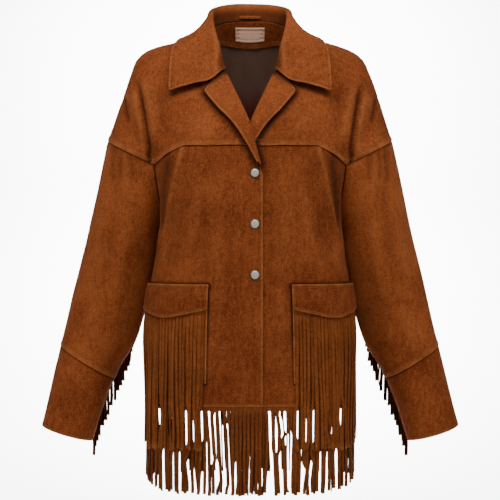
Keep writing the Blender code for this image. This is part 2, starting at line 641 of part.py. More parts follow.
def torso_normals(points):
    """The torso's normals at points that lie on it."""
    angle = np.arctan2(points[..., 0], TORSO_CENTRE_Y - points[..., 1])
    axis = np.stack([np.zeros_like(angle), np.full_like(angle, TORSO_CENTRE_Y), points[..., 2]], axis=-1)
    return outward(torso, angle, points[..., 2], axis)


def yoke_faces(form, rows, columns, turns, under=False):
    """Outer and inner face of a right-hand yoke."""
    t, s = np.meshgrid(rows, columns, indexing="ij")
    outer = form(s, t)
    normals = surface_normals(lambda t, s: form(s, t), t, s, YOKE_POINT)
    normals[-1] = torso_normals(outer[-1])
    on_ridge = columns >= (NECK_SHARE if form is back_yoke else 0)
    ridge = unit(np.gradient(outer[0, on_ridge], axis=0) * np.array([1, 0, 1]))
    normals[0, on_ridge] = np.stack([-ridge[:, 2], np.zeros(len(ridge)), ridge[:, 0]], axis=-1)
    normals[:, -1] = seam_normals(turns, normals[:, -1])
    if form is back_yoke:
        normals[:, 0] = unit(normals[:, 0] * np.array([0, 1, 1]))
    if under:
        outer = outer - normals * under_drop(outer[..., 0], outer[..., 2])[..., None]
    return outer, outer - normals * WALL


def add_fronts():
    """Two fronts and their yokes. The left-hand one laps over the right-hand one."""
    built = {}
    gap = SEAM / 2
    for name, side, under in (("left", -1, False), ("right", 1, True)):
        panel = [trimmed(face, top=gap, right=gap) for face in front_panel(under)]
        yoke = yoke_faces(front_yoke, YOKE_ROWS, COLUMNS, YOKE_ROWS / 4, under)
        yoke = [trimmed(face, top=gap, bottom=gap, right=gap) for face in yoke]
        built[name] = [mirrored(face, side) for face in (panel[0], yoke[0])]
        add_wall(f"front_{name}", mirrored(panel[0], side), mirrored(panel[1], side), "suede")
        add_wall(f"front_yoke_{name}", mirrored(yoke[0], side), mirrored(yoke[1], side), "suede")
    return built


def back_panel():
    """Outer and inner face of the right-hand half of the back below the yoke."""
    t, s = np.meshgrid(PANEL_ROWS, BACK_COLUMNS, indexing="ij")
    corner = float(armhole_angle(YOKE_CORNER_Z, back=True))
    top = back_yoke_z(math.pi + (corner - math.pi) * s)
    z = top + (HEM_Z - top) * t
    angle = math.pi + (side_angle(np.minimum(z, YOKE_CORNER_Z), back=True) - math.pi) * s
    return panel_faces(angle, z, np.zeros_like(z), 0.75 - PANEL_ROWS[: ARMHOLE_ROWS + 1])


def add_back():
    gap = SEAM / 2
    panel = [trimmed(both_halves(face), top=gap, left=gap, right=gap) for face in back_panel()]
    yoke = yoke_faces(back_yoke, YOKE_ROWS, BACK_COLUMNS, 1 - YOKE_ROWS / 4)
    yoke = [trimmed(both_halves(face), top=gap, bottom=gap, left=gap, right=gap) for face in yoke]
    add_wall("back", *panel, "suede")
    add_wall("back_yoke", *yoke, "suede")


def add_sleeves():
    """Tubes that hang from the armholes, each with a long cuff."""
    upper, lower = YOKE_ROWS / 4, 0.25 + PANEL_ROWS[1 : ARMHOLE_ROWS + 1]
    turns = np.concatenate([upper, lower, 1 - lower[-2::-1], 1 - upper[:0:-1]])
    for name, rows in (("sleeve", SLEEVE_ROWS), ("cuff", CUFF_ROWS)):
        share, turn = np.meshgrid(rows, turns, indexing="ij")
        outer = sleeve(turn, share)
        around = sleeve(turn + 2e-3, share) - sleeve(turn - 2e-3, share)
        normals = unit(np.cross(around, sleeve(turn, share + 2e-3) - sleeve(turn, np.maximum(share - 2e-3, 0))))
        normals = facing_out(normals, outer, np.mean(outer, axis=(0, 1)))
        if name == "sleeve":
            normals[0] = seam_normals(turns, normals[0])
            outer[0] -= normals[0] * UNDERARM_EASE * ramp(0.5 - np.abs(turns - 0.5), 0.24, 0.34)[:, None]
        faces = [trimmed(face, top=SEAM / 2, bottom=SEAM / 2) for face in (outer, outer - normals * WALL)]
        for label, side in (("left", -1), ("right", 1)):
            add_wall(f"{name}_{label}", mirrored(faces[0], side), mirrored(faces[1], side), "suede", ring=True)


# ---------------------------------------------------------------- collar and lapels
def tree_of(grids):
    """A search tree over the facets of some grids."""
    points, faces = [], []
    for grid in grids:
        rows, columns = grid.shape[:2]
        base = len(points)
        points += [tuple(p) for p in grid.reshape(-1, 3)]
        for r in range(rows - 1):
            for c in range(columns - 1):
                a = base + r * columns + c
                faces += [(a, a + 1, a + columns + 1), (a, a + columns + 1, a + columns)]
    return BVHTree.FromPolygons(points, faces)


def depth_at(tree, x, z, start=-1.0, miss=None):
    """y of the first facet met on the way back from y = start, or of one a little to the side past an edge."""
    for aside in np.linspace(0, EDGE_SEARCH, 25):
        for shift in (aside, -aside):
            hit = tree.ray_cast((x + shift, start, z), (0, 1, 0))
            if hit[0] is not None:
                return hit[0].y
    return miss


def neckline(station):
    """The neck edge of the yokes at a collar station from 0 (middle of the back) to 8 (the gorge)."""
    points = np.vstack([BACK_NECK, YOKE_EDGE[1:5]])
    return smooth(np.arange(9), points, station)


def collar_sheet(stations):
    """The collar's face: up the stand inside the neck, over the fold and down the leaf."""
    table = smooth(np.arange(9), COLLAR, stations)
    fold, upper, lower, edge = np.moveaxis(table, 1, 0)
    neck = neckline(stations)
    neck = neck + unit(-neck * np.array([1, 1, 0])) * STAND_INSET
    neck = neck + ramp(stations, *STAND_END_STATIONS)[:, None] * STAND_END
    rise, leaf = fold - neck, upper - fold
    tangent = smooth(np.arange(9), COLLAR[:, 0], stations + 0.02) - smooth(np.arange(9), COLLAR[:, 0], stations - 0.02)
    inward, outward_ = unit(np.cross(tangent, rise)), unit(np.cross(tangent, leaf))
    inward = np.where(np.sum(inward * leaf, axis=-1, keepdims=True) > 0, -inward, inward)
    outward_ = np.where(np.sum(outward_ * rise, axis=-1, keepdims=True) < 0, -outward_, outward_)
    crown = unit(inward + outward_)
    centre = fold - crown * FOLD_RADIUS
    low = centre + inward * FOLD_RADIUS
    rows = [neck, (neck + low) / 2]
    for share in (0, 0.33, 0.67, 1):
        towards = unit(inward * (1 - share) + crown * 2 * share * (1 - share) + outward_ * share)
        rows.append(centre + towards * FOLD_RADIUS)
    return np.array(rows + [upper, lower, edge])


def add_collar(tree):
    half = collar_sheet(COLLAR_STATIONS)
    half[6:] = lifted(half[6:], tree, LEAF_LIFT)
    sheet = both_halves(half)
    normals = unit(np.cross(np.gradient(sheet, axis=1), np.gradient(sheet, axis=0)))
    middle = sheet.shape[1] // 2
    if normals[-1, middle, 1] < 0:
        normals = -normals
    add_wall("collar", sheet, sheet - normals * WALL, "suede")
    return sheet


def lifted(points, tree, clearance):
    """The points, moved out where they lie nearer than the clearance to the body."""
    flat = points.reshape(-1, 3).copy()
    for i, point in enumerate(flat):
        place, normal, _, distance = tree.find_nearest(tuple(point))
        away = np.array(normal)
        if away @ (point - BODY_POINT) < 0:
            away = -away
        signed = float((point - np.array(place)) @ away)
        if signed < clearance and distance < NEAR:
            flat[i] = point + away * (clearance - signed)
    return flat.reshape(points.shape)


def lapel_outline(t, u):
    """x and z on the right-hand lapel: t down its length, u from the fold to the outer edge."""
    fold, edge = along(LAPEL_FOLD, t), along(LAPEL_EDGE, t)
    flat = fold + (edge - fold) * u
    top = np.stack([np.interp(u, (0, 0.55, 1), values) for values in
                    zip(LAPEL_FOLD[0], LAPEL_NOTCH, LAPEL_EDGE[0])], axis=-1)
    straight = LAPEL_FOLD[0] + (LAPEL_EDGE[0] - LAPEL_FOLD[0]) * u
    return flat + (top - straight) * (1 - t) ** 2


def add_lapels(built):
    """The fronts' turned-back edges. Each wraps the free edge of its yoke and lies on it."""
    for name, side in (("left", -1), ("right", 1)):
        tree = tree_of(built[name])
        rows = []
        for t in np.linspace(0, 1, LAPEL_ROWS):
            x, z = lapel_outline(t, 0.0)
            y = depth_at(tree, side * (x + FOLD_BACK), z)
            row = [(side * (x + dx), y + dy, z) for dx, dy in LAPEL_FOLD_SECTION]
            for u in (0.25, 0.5, 0.75, 1.0):
                x, z = lapel_outline(t, u)
                row.append((side * x, depth_at(tree, side * x, z) - LAPEL_LIFT, z))
            rows.append(row)
        sheet = np.array(rows)
        normals = grid_normals(sheet, sheet.mean(axis=(0, 1)) + np.array([side * 0.02, 0.05, 0]))
        add_wall(f"lapel_{name}", sheet, sheet - normals * WALL, "suede")


def between_knots(knots, low, high):
    """low, the knots that lie between, and high."""
    inside = [knot for knot in knots if low + 0.004 < knot < high - 0.004]
    return np.array([low, *inside, high])


def on_yoke_lining(rows, columns, depth):
    """A grid on the back yoke's inner side, moved in. It follows the yoke's own facets."""
    t, s = np.meshgrid(YOKE_ROWS, BACK_COLUMNS, indexing="ij")
    normals = surface_normals(lambda t, s: back_yoke(s, t), t, s, YOKE_POINT)
    normals[:, 0] = unit(normals[:, 0] * np.array([0, 1, 1]))
    grid = back_yoke(s, t) - normals * depth
    down = np.stack([[np.interp(rows, YOKE_ROWS, grid[:, c, k]) for k in range(3)] for c in range(grid.shape[1])])
    both = np.stack([[np.interp(columns, BACK_COLUMNS, down[:, k, r]) for k in range(3)] for r in range(len(rows))])
    return np.moveaxis(both, 1, 2)


def add_yoke_lining(name, rows, reach, depth, wall, finish):
    columns = between_knots(BACK_COLUMNS, 0.0, reach)
    faces = [both_halves(on_yoke_lining(rows, columns, depth + d)) for d in (wall, 0)]
    add_wall(name, *faces, finish)


def add_neck_inside(collar):
    """What shows inside the back of the neck: suede facing, lining, a hanger loop and a blank label."""
    facing = between_knots(YOKE_ROWS, FACING_TOP, FACING_BOTTOM)
    lining = between_knots(YOKE_ROWS, FACING_BOTTOM + 0.002, LINING_BOTTOM)
    label = between_knots(YOKE_ROWS, *LABEL_SPAN)
    add_yoke_lining("neck_facing", facing, FACING_REACH, INSIDE_GAP, FACING_WALL, "suede")
    add_yoke_lining("back_lining", lining, LINING_REACH, INSIDE_GAP, LINING_WALL, "satin")
    add_yoke_lining("neck_label", label, LABEL_REACH, INSIDE_GAP + FACING_WALL + LABEL_GAP, LABEL_WALL, "label")
    tree = tree_of([collar])
    rows = []
    for z in (LOOP_Z + LOOP_HEIGHT / 2, LOOP_Z - LOOP_HEIGHT / 2):
        row = []
        for x in np.linspace(-LOOP_REACH, LOOP_REACH, 9):
            bulge = LOOP_BULGE * (1 - (x / LOOP_REACH) ** 4)
            row.append((x, depth_at(tree, x, z, start=0.0) - LOOP_GAP - bulge, z))
        rows.append(row)
    strap = np.array(rows)
    add_wall("hanger_loop", strap - np.array([0, LOOP_WALL, 0]), strap, "suede")


# ---------------------------------------------------------------- pockets, fringe and snaps
def laid(arcs, zs, out, side):
    """Points on the torso at distances round from the middle of the front, moved out."""
    angles = np.vectorize(lambda arc: angle_at(arc, POCKET_REF_Z))(arcs)
    return mirrored(on_torso(angles, zs, np.full(np.shape(zs), out)), side)


def add_pockets():
    """A patch, a strip of fringe over it and a pointed flap over both, on each front."""
    start, end = FLAP_START, FLAP_START + FLAP_WIDTH
    for name, side in (("left", -1), ("right", 1)):
        arc, z = np.meshgrid(np.linspace(start + POCKET_INSET, end - POCKET_INSET, 14),
                             np.linspace(PATCH_TOP_Z, PATCH_BOTTOM_Z, 5))
        add_wall(f"pocket_{name}", laid(arc, z, LAID_GAP + WALL, side), laid(arc, z, LAID_GAP, side), "suede")
        arc, t = np.meshgrid(np.linspace(start, end, 15), np.linspace(0, 1, 4))
        point = 1 - np.abs((arc - start) / FLAP_WIDTH * 2 - 1)
        z = POCKET_TOP_Z - t * (FLAP_SIDE_DROP + (FLAP_POINT_DROP - FLAP_SIDE_DROP) * point)
        out = LAID_GAP + WALL + FRINGE_GAP * 2 + FRINGE_WALL
        add_wall(f"flap_{name}", laid(arc, z, out + WALL, side), laid(arc, z, out, side), "suede")
        count = round((FLAP_WIDTH - 2 * STRIP_INSET) / POCKET_PITCH)
        arc, z = np.meshgrid(np.linspace(start + STRIP_INSET, end - STRIP_INSET, count + 1), STRIP_ZS)
        out = LAID_GAP + WALL + FRINGE_GAP
        outer, inner = laid(arc, z, out + FRINGE_WALL, side), laid(arc, z, out, side)
        tips = [POCKET_FRINGE_TIP_Z + POCKET_TIP_RAG * ragged(c, 3) for c in range(count)]
        arcs = (arc[0, 1:] + arc[0, :-1]) / 2

        def path(c, z, arcs=arcs, side=side, out=out + FRINGE_WALL):
            return laid(arcs[c : c + 1], np.array([z]), out + FRINGE_FLARE, side)[0]

        levels = hanging(outer, inner, tips, 3 + side, lean=POCKET_LEAN, shares=(0.2, 0.55, 1.0), path=path)
        add_fringe(f"pocket_fringe_{name}", outer, inner, levels, "suede")


def hem_strip(angles, out, name, salt):
    """A fringe strip just below the hem, from one angle to another."""
    ring = torso(np.linspace(*angles, 200), np.full(200, HEM_Z))
    lengths = np.concatenate([[0], np.cumsum(np.linalg.norm(np.diff(ring, axis=0), axis=1))])
    count = round(lengths[-1] / HEM_PITCH)
    places = np.interp(np.linspace(0, lengths[-1], count + 1), lengths, np.linspace(*angles, 200))
    angle, z = np.meshgrid(places, (HEM_Z - SEAM, HEM_FRINGE_ROOT_Z))
    drop = out(torso(angle, z)[..., 0])
    outer, inner = on_torso(angle, z, drop), on_torso(angle, z, drop - FRINGE_WALL)
    middle = (places[1:] + places[:-1]) / 2
    tips = HEM_FRINGE_TIP_Z + HEM_TIP_RISE * np.abs(np.sin(middle)) ** HEM_TIP_POWER
    tips = [tip + HEM_TIP_RAG * ragged(c, salt) for c, tip in enumerate(tips)]
    add_fringe(name, outer, inner, hanging(outer, inner, tips, salt, HEM_LEAN), "suede")


def add_hem_fringe():
    side = math.radians(SIDE_SEAM_ANGLES[1])
    edge = float(angle_of_x(-LAP, HEM_Z))
    gap = SEAM / TORSO[0, 1]
    hem_strip((-side + gap, -edge), lambda x: 0.0 * x, "hem_fringe_left", 1)
    hem_strip((edge, side - gap), lambda x: -under_drop(x, HEM_Z), "hem_fringe_right", 2)
    hem_strip((side + gap, 2 * math.pi - side - gap), lambda x: 0.0 * x, "hem_fringe_back", 5)


def add_sleeve_fringe():
    """Strands that hang straight down from a strip on the seam at the back of each sleeve."""
    share, turn = np.meshgrid(np.linspace(*SLEEVE_FRINGE_SPAN, SLEEVE_STRANDS + 1), SLEEVE_FRINGE_TURNS)
    outer = sleeve(turn, share)
    normals = outward(sleeve, turn, share, SLEEVE_AXIS_POINT, step=1e-3)
    inner = outer + normals * LAID_GAP
    outer = inner + normals * FRINGE_WALL
    for name, side in (("left", -1), ("right", 1)):
        faces = [mirrored(face, side) for face in (outer, inner)]
        tips = [(faces[0][1, c, 2] + faces[0][1, c + 1, 2]) / 2 - SLEEVE_STRAND_LENGTH - SLEEVE_TIP_RAG * ragged(c, 7)
                for c in range(SLEEVE_STRANDS)]
        levels = hanging(*faces, tips, 7, lean=0.0, taper=SLEEVE_TAPER, shares=(0.3, 1.0))
        add_fringe(f"sleeve_fringe_{name}", *faces, levels, "suede")


def add_snaps():
    """Round snap caps on the outer front's edge."""
    turns = np.linspace(0, 2 * math.pi, SNAP_SIDES, endpoint=False)
    for number, z in enumerate(SNAP_ZS, 1):
        angle = float(angle_of_x(SNAP_X, z))
        foot = on_torso(np.array([angle]), np.array([z]), [SNAP_GAP])[0]
        normal = torso_normals(torso(angle, z)[None])[0]
        across = unit(np.cross(normal, (0, 0, 1)))
        up = np.cross(across, normal)
        points = [foot + SNAP_RADIUS * r * (math.cos(a) * across + math.sin(a) * up) + normal * SNAP_HEIGHT * h
                  for r, h in SNAP_PROFILE for a in turns]
        faces = [tuple(range(SNAP_SIDES - 1, -1, -1)), tuple(range(len(points) - SNAP_SIDES, len(points)))]
        for ring in range(len(SNAP_PROFILE) - 1):
            for k in range(SNAP_SIDES):
                a, b = ring * SNAP_SIDES + k, ring * SNAP_SIDES + (k + 1) % SNAP_SIDES
                faces.append((a, b, b + SNAP_SIDES, a + SNAP_SIDES))
        add_solid(f"snap_{number}", np.array(points), faces, "metal")


def back_yoke_grid():
    t, s = np.meshgrid(YOKE_ROWS, BACK_COLUMNS, indexing="ij")
    return back_yoke(s, t)


def main():
    for obj in list(bpy.data.objects):
        bpy.data.objects.remove(obj)
    built = add_fronts()
    add_back()
    add_sleeves()
    body = tree_of([grid for grids in built.values() for grid in grids] + [both_halves(back_yoke_grid())])
    collar = add_collar(body)
    add_lapels(built)
    add_neck_inside(collar)
    add_pockets()
    add_hem_fringe()
    add_sleeve_fringe()
    add_snaps()


main()
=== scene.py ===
# %% [markdown]
# # A fringed suede jacket
#
# The real thing is a Western jacket of napped cowhide, cut from about twenty panels. It stands here
# as a wearer fills it, but nobody is in it. Every cut piece of a plain measured model is drawn again
# as a fine cloth shell on the same form, and then gets folds, seams, stitches, fringe and a finish.
#
# All sizes are in metres, +Z up, and the front faces -Y. The origin is the middle of the neck, level
# with the tops of the shoulders.

import math

import bpy
import numpy as np
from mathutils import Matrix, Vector
from mathutils.bvhtree import BVHTree


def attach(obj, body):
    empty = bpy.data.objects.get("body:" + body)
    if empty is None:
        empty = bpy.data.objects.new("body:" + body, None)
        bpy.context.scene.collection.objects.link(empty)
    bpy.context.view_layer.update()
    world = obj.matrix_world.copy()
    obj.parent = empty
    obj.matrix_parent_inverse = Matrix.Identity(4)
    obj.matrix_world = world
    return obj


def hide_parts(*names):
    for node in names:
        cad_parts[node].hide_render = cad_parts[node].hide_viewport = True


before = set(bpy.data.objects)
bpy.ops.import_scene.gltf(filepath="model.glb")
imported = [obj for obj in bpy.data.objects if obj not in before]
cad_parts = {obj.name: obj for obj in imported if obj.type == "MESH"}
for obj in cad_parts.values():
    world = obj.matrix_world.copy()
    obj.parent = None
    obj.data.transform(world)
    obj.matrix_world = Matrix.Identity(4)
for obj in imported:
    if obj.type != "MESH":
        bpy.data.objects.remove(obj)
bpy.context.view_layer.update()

# %% [markdown]
# ## The camera
#
# A catalogue picture of a garment is taken from far away with a long lens, level with its middle, so
# that the shoulders and the hem are not drawn larger or smaller than they are.

# %% Camera
CAMERA_DISTANCE, CAMERA_HEIGHT, SENSOR = 2.6, -0.3906, 36.0
VIEW_WIDTH = 0.9  # what the square picture takes in, at the arm plane
scene = bpy.context.scene
camera_data = bpy.data.cameras.new("camera")
camera_data.sensor_width = SENSOR
camera_data.lens = SENSOR * CAMERA_DISTANCE / VIEW_WIDTH
camera = bpy.data.objects.new("camera", camera_data)
camera.location = (0.0, -CAMERA_DISTANCE, CAMERA_HEIGHT)
camera.rotation_euler = (math.pi / 2, 0.0, 0.0)
scene.collection.objects.link(camera)
scene.camera = camera
print(f"lens {camera_data.lens:.0f} mm")

# %% [markdown]
# ## Curves and tables
#
# A pattern cutter works from a few measures and joins them with smooth curves. These helpers do the
# same: a cubic through a table's values, a curve through points, an even ramp and an even bump.

# %% Curves and tables
def bridge(start, leave, end, arrive, u):
    """A cubic from start to end with the given end tangents."""
    ease = start * (1 + 2 * u) * (1 - u) ** 2 + leave * u * (1 - u) ** 2
    return ease + end * u * u * (3 - 2 * u) + arrive * u * u * (u - 1)


def smooth(knots, values, at):
    """A cubic through the values at the knots, read at the given places."""
    knots, values = np.asarray(knots, float), np.asarray(values, float)
    at = np.clip(np.asarray(at, float), knots[0], knots[-1])
    slopes = np.gradient(values, knots, axis=0)
    i = np.clip(np.searchsorted(knots, at, side="right") - 1, 0, len(knots) - 2)
    step = knots[i + 1] - knots[i]
    u = (at - knots[i]) / step
    u, step = (part.reshape(part.shape + (1,) * (values.ndim - 1)) for part in (u, step))
    return bridge(values[i], slopes[i] * step, values[i + 1], slopes[i + 1] * step, u)


def reached(points, axis=0):
    """The distance along rows of points, from the first one to each."""
    steps = np.linalg.norm(np.diff(points, axis=axis), axis=-1)
    return np.insert(np.cumsum(steps, axis=axis), 0, 0, axis=axis)


def along(points, share):
    """The point at each share of the length of a smooth curve through the points."""
    points = np.asarray(points, float)
    length = reached(points)
    return smooth(length / length[-1], points, share)


def ramp(value, start, end):
    """0 before start, 1 after end, and an even S between them."""
    u = np.clip((np.asarray(value, float) - start) / (end - start), 0, 1)
    return u * u * (3 - 2 * u)


def bump(value, middle, width):
    """1 at the middle, dying away evenly on both sides."""
    return np.exp(-(((np.asarray(value, float) - middle) / width) ** 2))


def unit(vectors):
    return vectors / np.maximum(np.linalg.norm(vectors, axis=-1, keepdims=True), 1e-12)


def mirrored(points, side):
    """Right-hand points for side 1, and their mirror image for side -1."""
    return points * np.array([side, 1.0, 1.0])


print("half way along a quarter circle:", along([(1, 0, 0), (0.7071, 0.7071, 0), (0, 1, 0)], 0.5).round(3))

# %% [markdown]
# ## The jacket's measures
#
# The garment's own sizes, as on a size chart: lengths from the shoulder down, the height of each
# seam, and the thickness of each layer.

# %% Measures
WALL = 0.0015  # suede with its backing
HEM_Z, UNDERARM_Z = -0.657, -0.345
YOKE_Z, BACK_YOKE_Z = -0.210, -0.215  # the yoke seams, level across the chest and the back
YOKE_CORNER_Z = -0.241  # where they meet the armhole
YOKE_BEND_ANGLE, BACK_YOKE_DROP_ANGLE = np.radians((52, 150))  # they turn down from here to the armhole
YOKE_EDGE_END_X, LAPEL_END_X = -0.0078, -0.0175
LAPEL_END_Z = -0.2485  # the roll ends and the front edge hangs straight
LAP = 0.0215  # each front crosses the middle by this much
CUFF_START = 0.715  # share of the sleeve's length above the cuff seam
POCKET_REF_Z, POCKET_TOP_Z = -0.50, -0.450  # distances round the body are measured at the first height
FLAP_SIDE_DROP, FLAP_POINT_DROP, FLAP_START, FLAP_WIDTH = 0.042, 0.059, 0.0725, 0.155
PATCH_TOP_Z, PATCH_BOTTOM_Z = -0.454, -0.618
HEM_FRINGE_TIP_Z, POCKET_FRINGE_TIP_Z = -0.806, -0.731
SNAP_RADIUS, SNAP_HEIGHT, SNAP_X, SNAP_ZS = 0.0078, 0.0032, 0.0085, (-0.259, -0.346, -0.433)
LEFT_HAND, RIGHT_HAND = ("left", -1), ("right", 1)
print(f"body {-HEM_Z * 1000:.0f} mm to the hem, fringe {(HEM_Z - HEM_FRINGE_TIP_Z) * 1000:.0f} mm")

# %% [markdown]
# ## The body's form
#
# Filled out by a wearer, the body of a boxy jacket is a stack of squarish ovals. Each section is a
# superellipse whose sizes come from a short table. An angle names a place round the body: 0 is the
# middle of the front and 180 degrees the middle of the back.

# %% The body's sections
TORSO = np.array([
    # height, half width, depth in front of and behind the arm plane, from the hem up
    (-0.820, 0.1838, 0.148, 0.128), (-0.657, 0.1838, 0.148, 0.128), (-0.600, 0.1848, 0.147, 0.127),
    (-0.520, 0.1848, 0.145, 0.122), (-0.450, 0.1768, 0.142, 0.116), (-0.390, 0.1660, 0.139, 0.112),
    (-0.345, 0.1590, 0.137, 0.111), (-0.295, 0.1670, 0.135, 0.114), (-0.241, 0.1850, 0.131, 0.118),
    (-0.200, 0.1910, 0.127, 0.119), (-0.150, 0.1950, 0.119, 0.117),
])
TORSO_CENTRE_Y = -0.025  # the widest part of each section
TORSO_POWER = 2.5  # superellipse: 2 is an ellipse, more is squarer
ARMHOLE_LOW = np.array([
    # height, angle of the armhole's front edge, angle of its back edge
    (-0.345, 100.0, 100.0), (-0.325, 89.0, 111.0), (-0.295, 80.5, 117.5), (-0.270, 76.0, 120.0), (-0.241, 73.0, 121.0),
])
SIDE_SEAM_ANGLES = (100.0, 94.0)  # at the underarm and at the hem
# The chest fold that runs from the yoke's bend to the side, in degrees round and in height
RIDGE_ANGLES, RIDGE_ZS = (53.0, 84.0), (-0.215, -0.385)
RIDGE_HEIGHT, RIDGE_SPREAD = 0.006, 9.0
RIDGE_FADES = (-0.415, -0.33), (-0.235, -0.21)
RIDGE_HOLLOW, RIDGE_HOLLOW_OFF = 0.9, 1.7  # the dip beside it, as shares of its height and spread


def torso(angle, z):
    """The torso's outer face."""
    angle, z = np.broadcast_arrays(np.asarray(angle, float), np.asarray(z, float))
    half_width, front, back = np.moveaxis(smooth(TORSO[:, 0], TORSO[:, 1:], z), -1, 0)
    across, ahead = np.sin(angle), np.cos(angle)
    depth = np.where(ahead > 0, front + TORSO_CENTRE_Y, back - TORSO_CENTRE_Y)
    radius = (np.abs(across / half_width) ** TORSO_POWER + np.abs(ahead / depth) ** TORSO_POWER) ** (-1 / TORSO_POWER)
    radius = radius + chest_ridge(np.abs(angle), z)
    return np.stack([radius * across, TORSO_CENTRE_Y - radius * ahead, z], axis=-1)


def chest_ridge(angle, z):
    """A soft fold from the yoke's bend down to the side, where the flat front turns to the underarm."""
    middle = np.interp(-z, -np.array(RIDGE_ZS), RIDGE_ANGLES)
    off = (np.degrees(angle) - middle) / RIDGE_SPREAD
    strength = ramp(z, *RIDGE_FADES[0]) * (1 - ramp(z, *RIDGE_FADES[1]))
    return RIDGE_HEIGHT * strength * (bump(off, 0, 1) - RIDGE_HOLLOW * bump(off, RIDGE_HOLLOW_OFF, 1))


def outward(surface, a, b, inside, step=1e-4):
    """Outward normals of surface(a, b), pointing away from the point inside."""
    across = surface(a + step, b) - surface(a - step, b)
    down = surface(a, b + step) - surface(a, b - step)
    normal = unit(np.cross(across, down))
    facing = np.sum(normal * (surface(a, b) - np.asarray(inside)), axis=-1, keepdims=True)
    return normal * np.where(facing < 0, -1.0, 1.0)


def torso_normals(points):
    """The torso's normals at points that lie on it."""
    angle = np.arctan2(points[..., 0], TORSO_CENTRE_Y - points[..., 1])
    axis = np.stack([np.zeros_like(angle), np.full_like(angle, TORSO_CENTRE_Y), points[..., 2]], axis=-1)
    return outward(torso, angle, points[..., 2], axis)


def angle_of_x(x, z):
    """The angle of the torso's front at a given x, near the middle."""
    angles = np.linspace(-0.6, 0.6, 241)
    return np.interp(x, torso(angles, np.full(241, z))[:, 0], angles)


def armhole_angle(z, back=False):
    return np.radians(smooth(ARMHOLE_LOW[:, 0], ARMHOLE_LOW[:, 2 if back else 1], z))


def side_angle(z, back=False):
    """The edge of a body panel: the armhole down to the underarm, then the side seam."""
    low = np.interp(-z, (-UNDERARM_Z, -HEM_Z), np.radians(SIDE_SEAM_ANGLES))
    return np.where(z > UNDERARM_Z, armhole_angle(z, back), low)


CORNER, BACK_CORNER = float(armhole_angle(YOKE_CORNER_Z)), float(armhole_angle(YOKE_CORNER_Z, back=True))


def yoke_z(angle):
    """Height of the front yoke seam: level, then down to the armhole."""
    bent = np.clip((np.abs(angle) - YOKE_BEND_ANGLE) / (CORNER - YOKE_BEND_ANGLE), 0, 1)
    return YOKE_Z + (YOKE_CORNER_Z - YOKE_Z) * bent


def back_yoke_z(angle):
    return BACK_YOKE_Z + (YOKE_CORNER_Z - BACK_YOKE_Z) * ramp(-np.abs(angle), -BACK_YOKE_DROP_ANGLE, -BACK_CORNER)


def edge_x(z):
    """The front edge below the yoke: along the lapel's fold, then straight down."""
    fold = np.interp(-z, (-YOKE_Z, -LAPEL_END_Z), (YOKE_EDGE_END_X, LAPEL_END_X))
    return np.where(z > LAPEL_END_Z, fold, -LAP + (LAPEL_END_X + LAP) * ramp(z, LAPEL_END_Z - 0.016, LAPEL_END_Z))


print("round the hem:", round(2 * math.pi * float(TORSO[1, 1:].mean()) * 1000), "mm, about")

# %% [markdown]
# ## The yokes' form
#
# A yoke is the flat piece over the shoulders. Its top edge follows the neck and the shoulder line,
# its lower edge lies on the body, and the cloth between takes the smoothest way from one to the
# other. So each yoke is a bridge of cubic curves, drawn to its free edges where they are known. The
# crease where the chest turns to the arm is part of this form.

# %% The yokes
# Curves of the right-hand half (x > 0), which the left-hand half mirrors.
NECK_SIDE, SLEEVE_TOP = (0.074, 0.005, 0.008), (0.256, 0.000, -0.194)
SHOULDER = np.array([
    NECK_SIDE, (0.124, 0.005, -0.0122), (0.168, 0.005, -0.0240), (0.190, 0.005, -0.0335), (0.2045, 0.005, -0.0465),
    (0.216, 0.004, -0.073), (0.231, 0.003, -0.117), (0.244, 0.001, -0.156), SLEEVE_TOP,
])
BACK_MIDDLE = [(0, 0.070, 0.032), (0, 0.092, -0.030), (0, 0.112, -0.110), (0, 0.119, -0.165)]
BACK_NECK = [(0.000, 0.070, 0.032), (0.022, 0.068, 0.0315), (0.044, 0.058, 0.028), (0.064, 0.036, 0.019), NECK_SIDE]
YOKE_EDGE = [  # the yoke's front edge: round the neck, then down just inside the lapel's fold
    NECK_SIDE, (0.0735, -0.025, -0.010), (0.0670, -0.049, -0.032), (0.0570, -0.065, -0.054),
    (0.0452, -0.0785, -0.077), (0.0225, -0.1025, -0.126), (0.0010, -0.1205, -0.1755),
]
NECK_SHARE = 0.3  # share of the back yoke's top edge that is neck
SLEEVE_SEAMS = {False: [(0.243, -0.041, -0.203), (0.213, -0.067, -0.219)],  # in front
                True: [(0.243, 0.046, -0.203), (0.213, 0.074, -0.219)]}  # at the back
# How full the cloth leaves and arrives: for the front at the shoulder and the seam, and how that changes outwards
FRONT_YOKE_FULLNESS = ((0.15, -0.04), (0.21, -0.12))
BACK_YOKE_FULLNESS = ((0.0, 0.05, -0.14), (0.0, 0.15, 0.0), (0.19, -0.10))  # from the neck, the shoulder and the seam
CREASE_DEPTH, CREASE_SPREAD, CREASE_PUSH = 0.011, 0.07, np.array([-0.35, 1.0, -0.2])
CREASE_LINE = (0.80, 0.18)  # s at the shoulder, and how far it moves out by the seam
CREASE_FADES = ((0.10, 0.6), (0.9, 1.0), (0.0, 0.09))


def between(form, left, right, s, t, near):
    """The form, drawn to a left edge at s = 0 by the weight near, and to a right edge at s = 1."""
    zero, one = np.zeros_like(t), np.ones_like(t)
    near, far = near[..., None], (s**3)[..., None]
    return form(s, t) + near * (left(t) - form(zero, t)) + far * (right(t) - form(one, t))


def sleeve_seam(share, back=False):
    """The armhole from the top of the sleeve to the yoke's corner."""
    corner = torso(BACK_CORNER if back else CORNER, YOKE_CORNER_Z)
    return along(np.vstack([SLEEVE_TOP, SLEEVE_SEAMS[back], corner]), share)


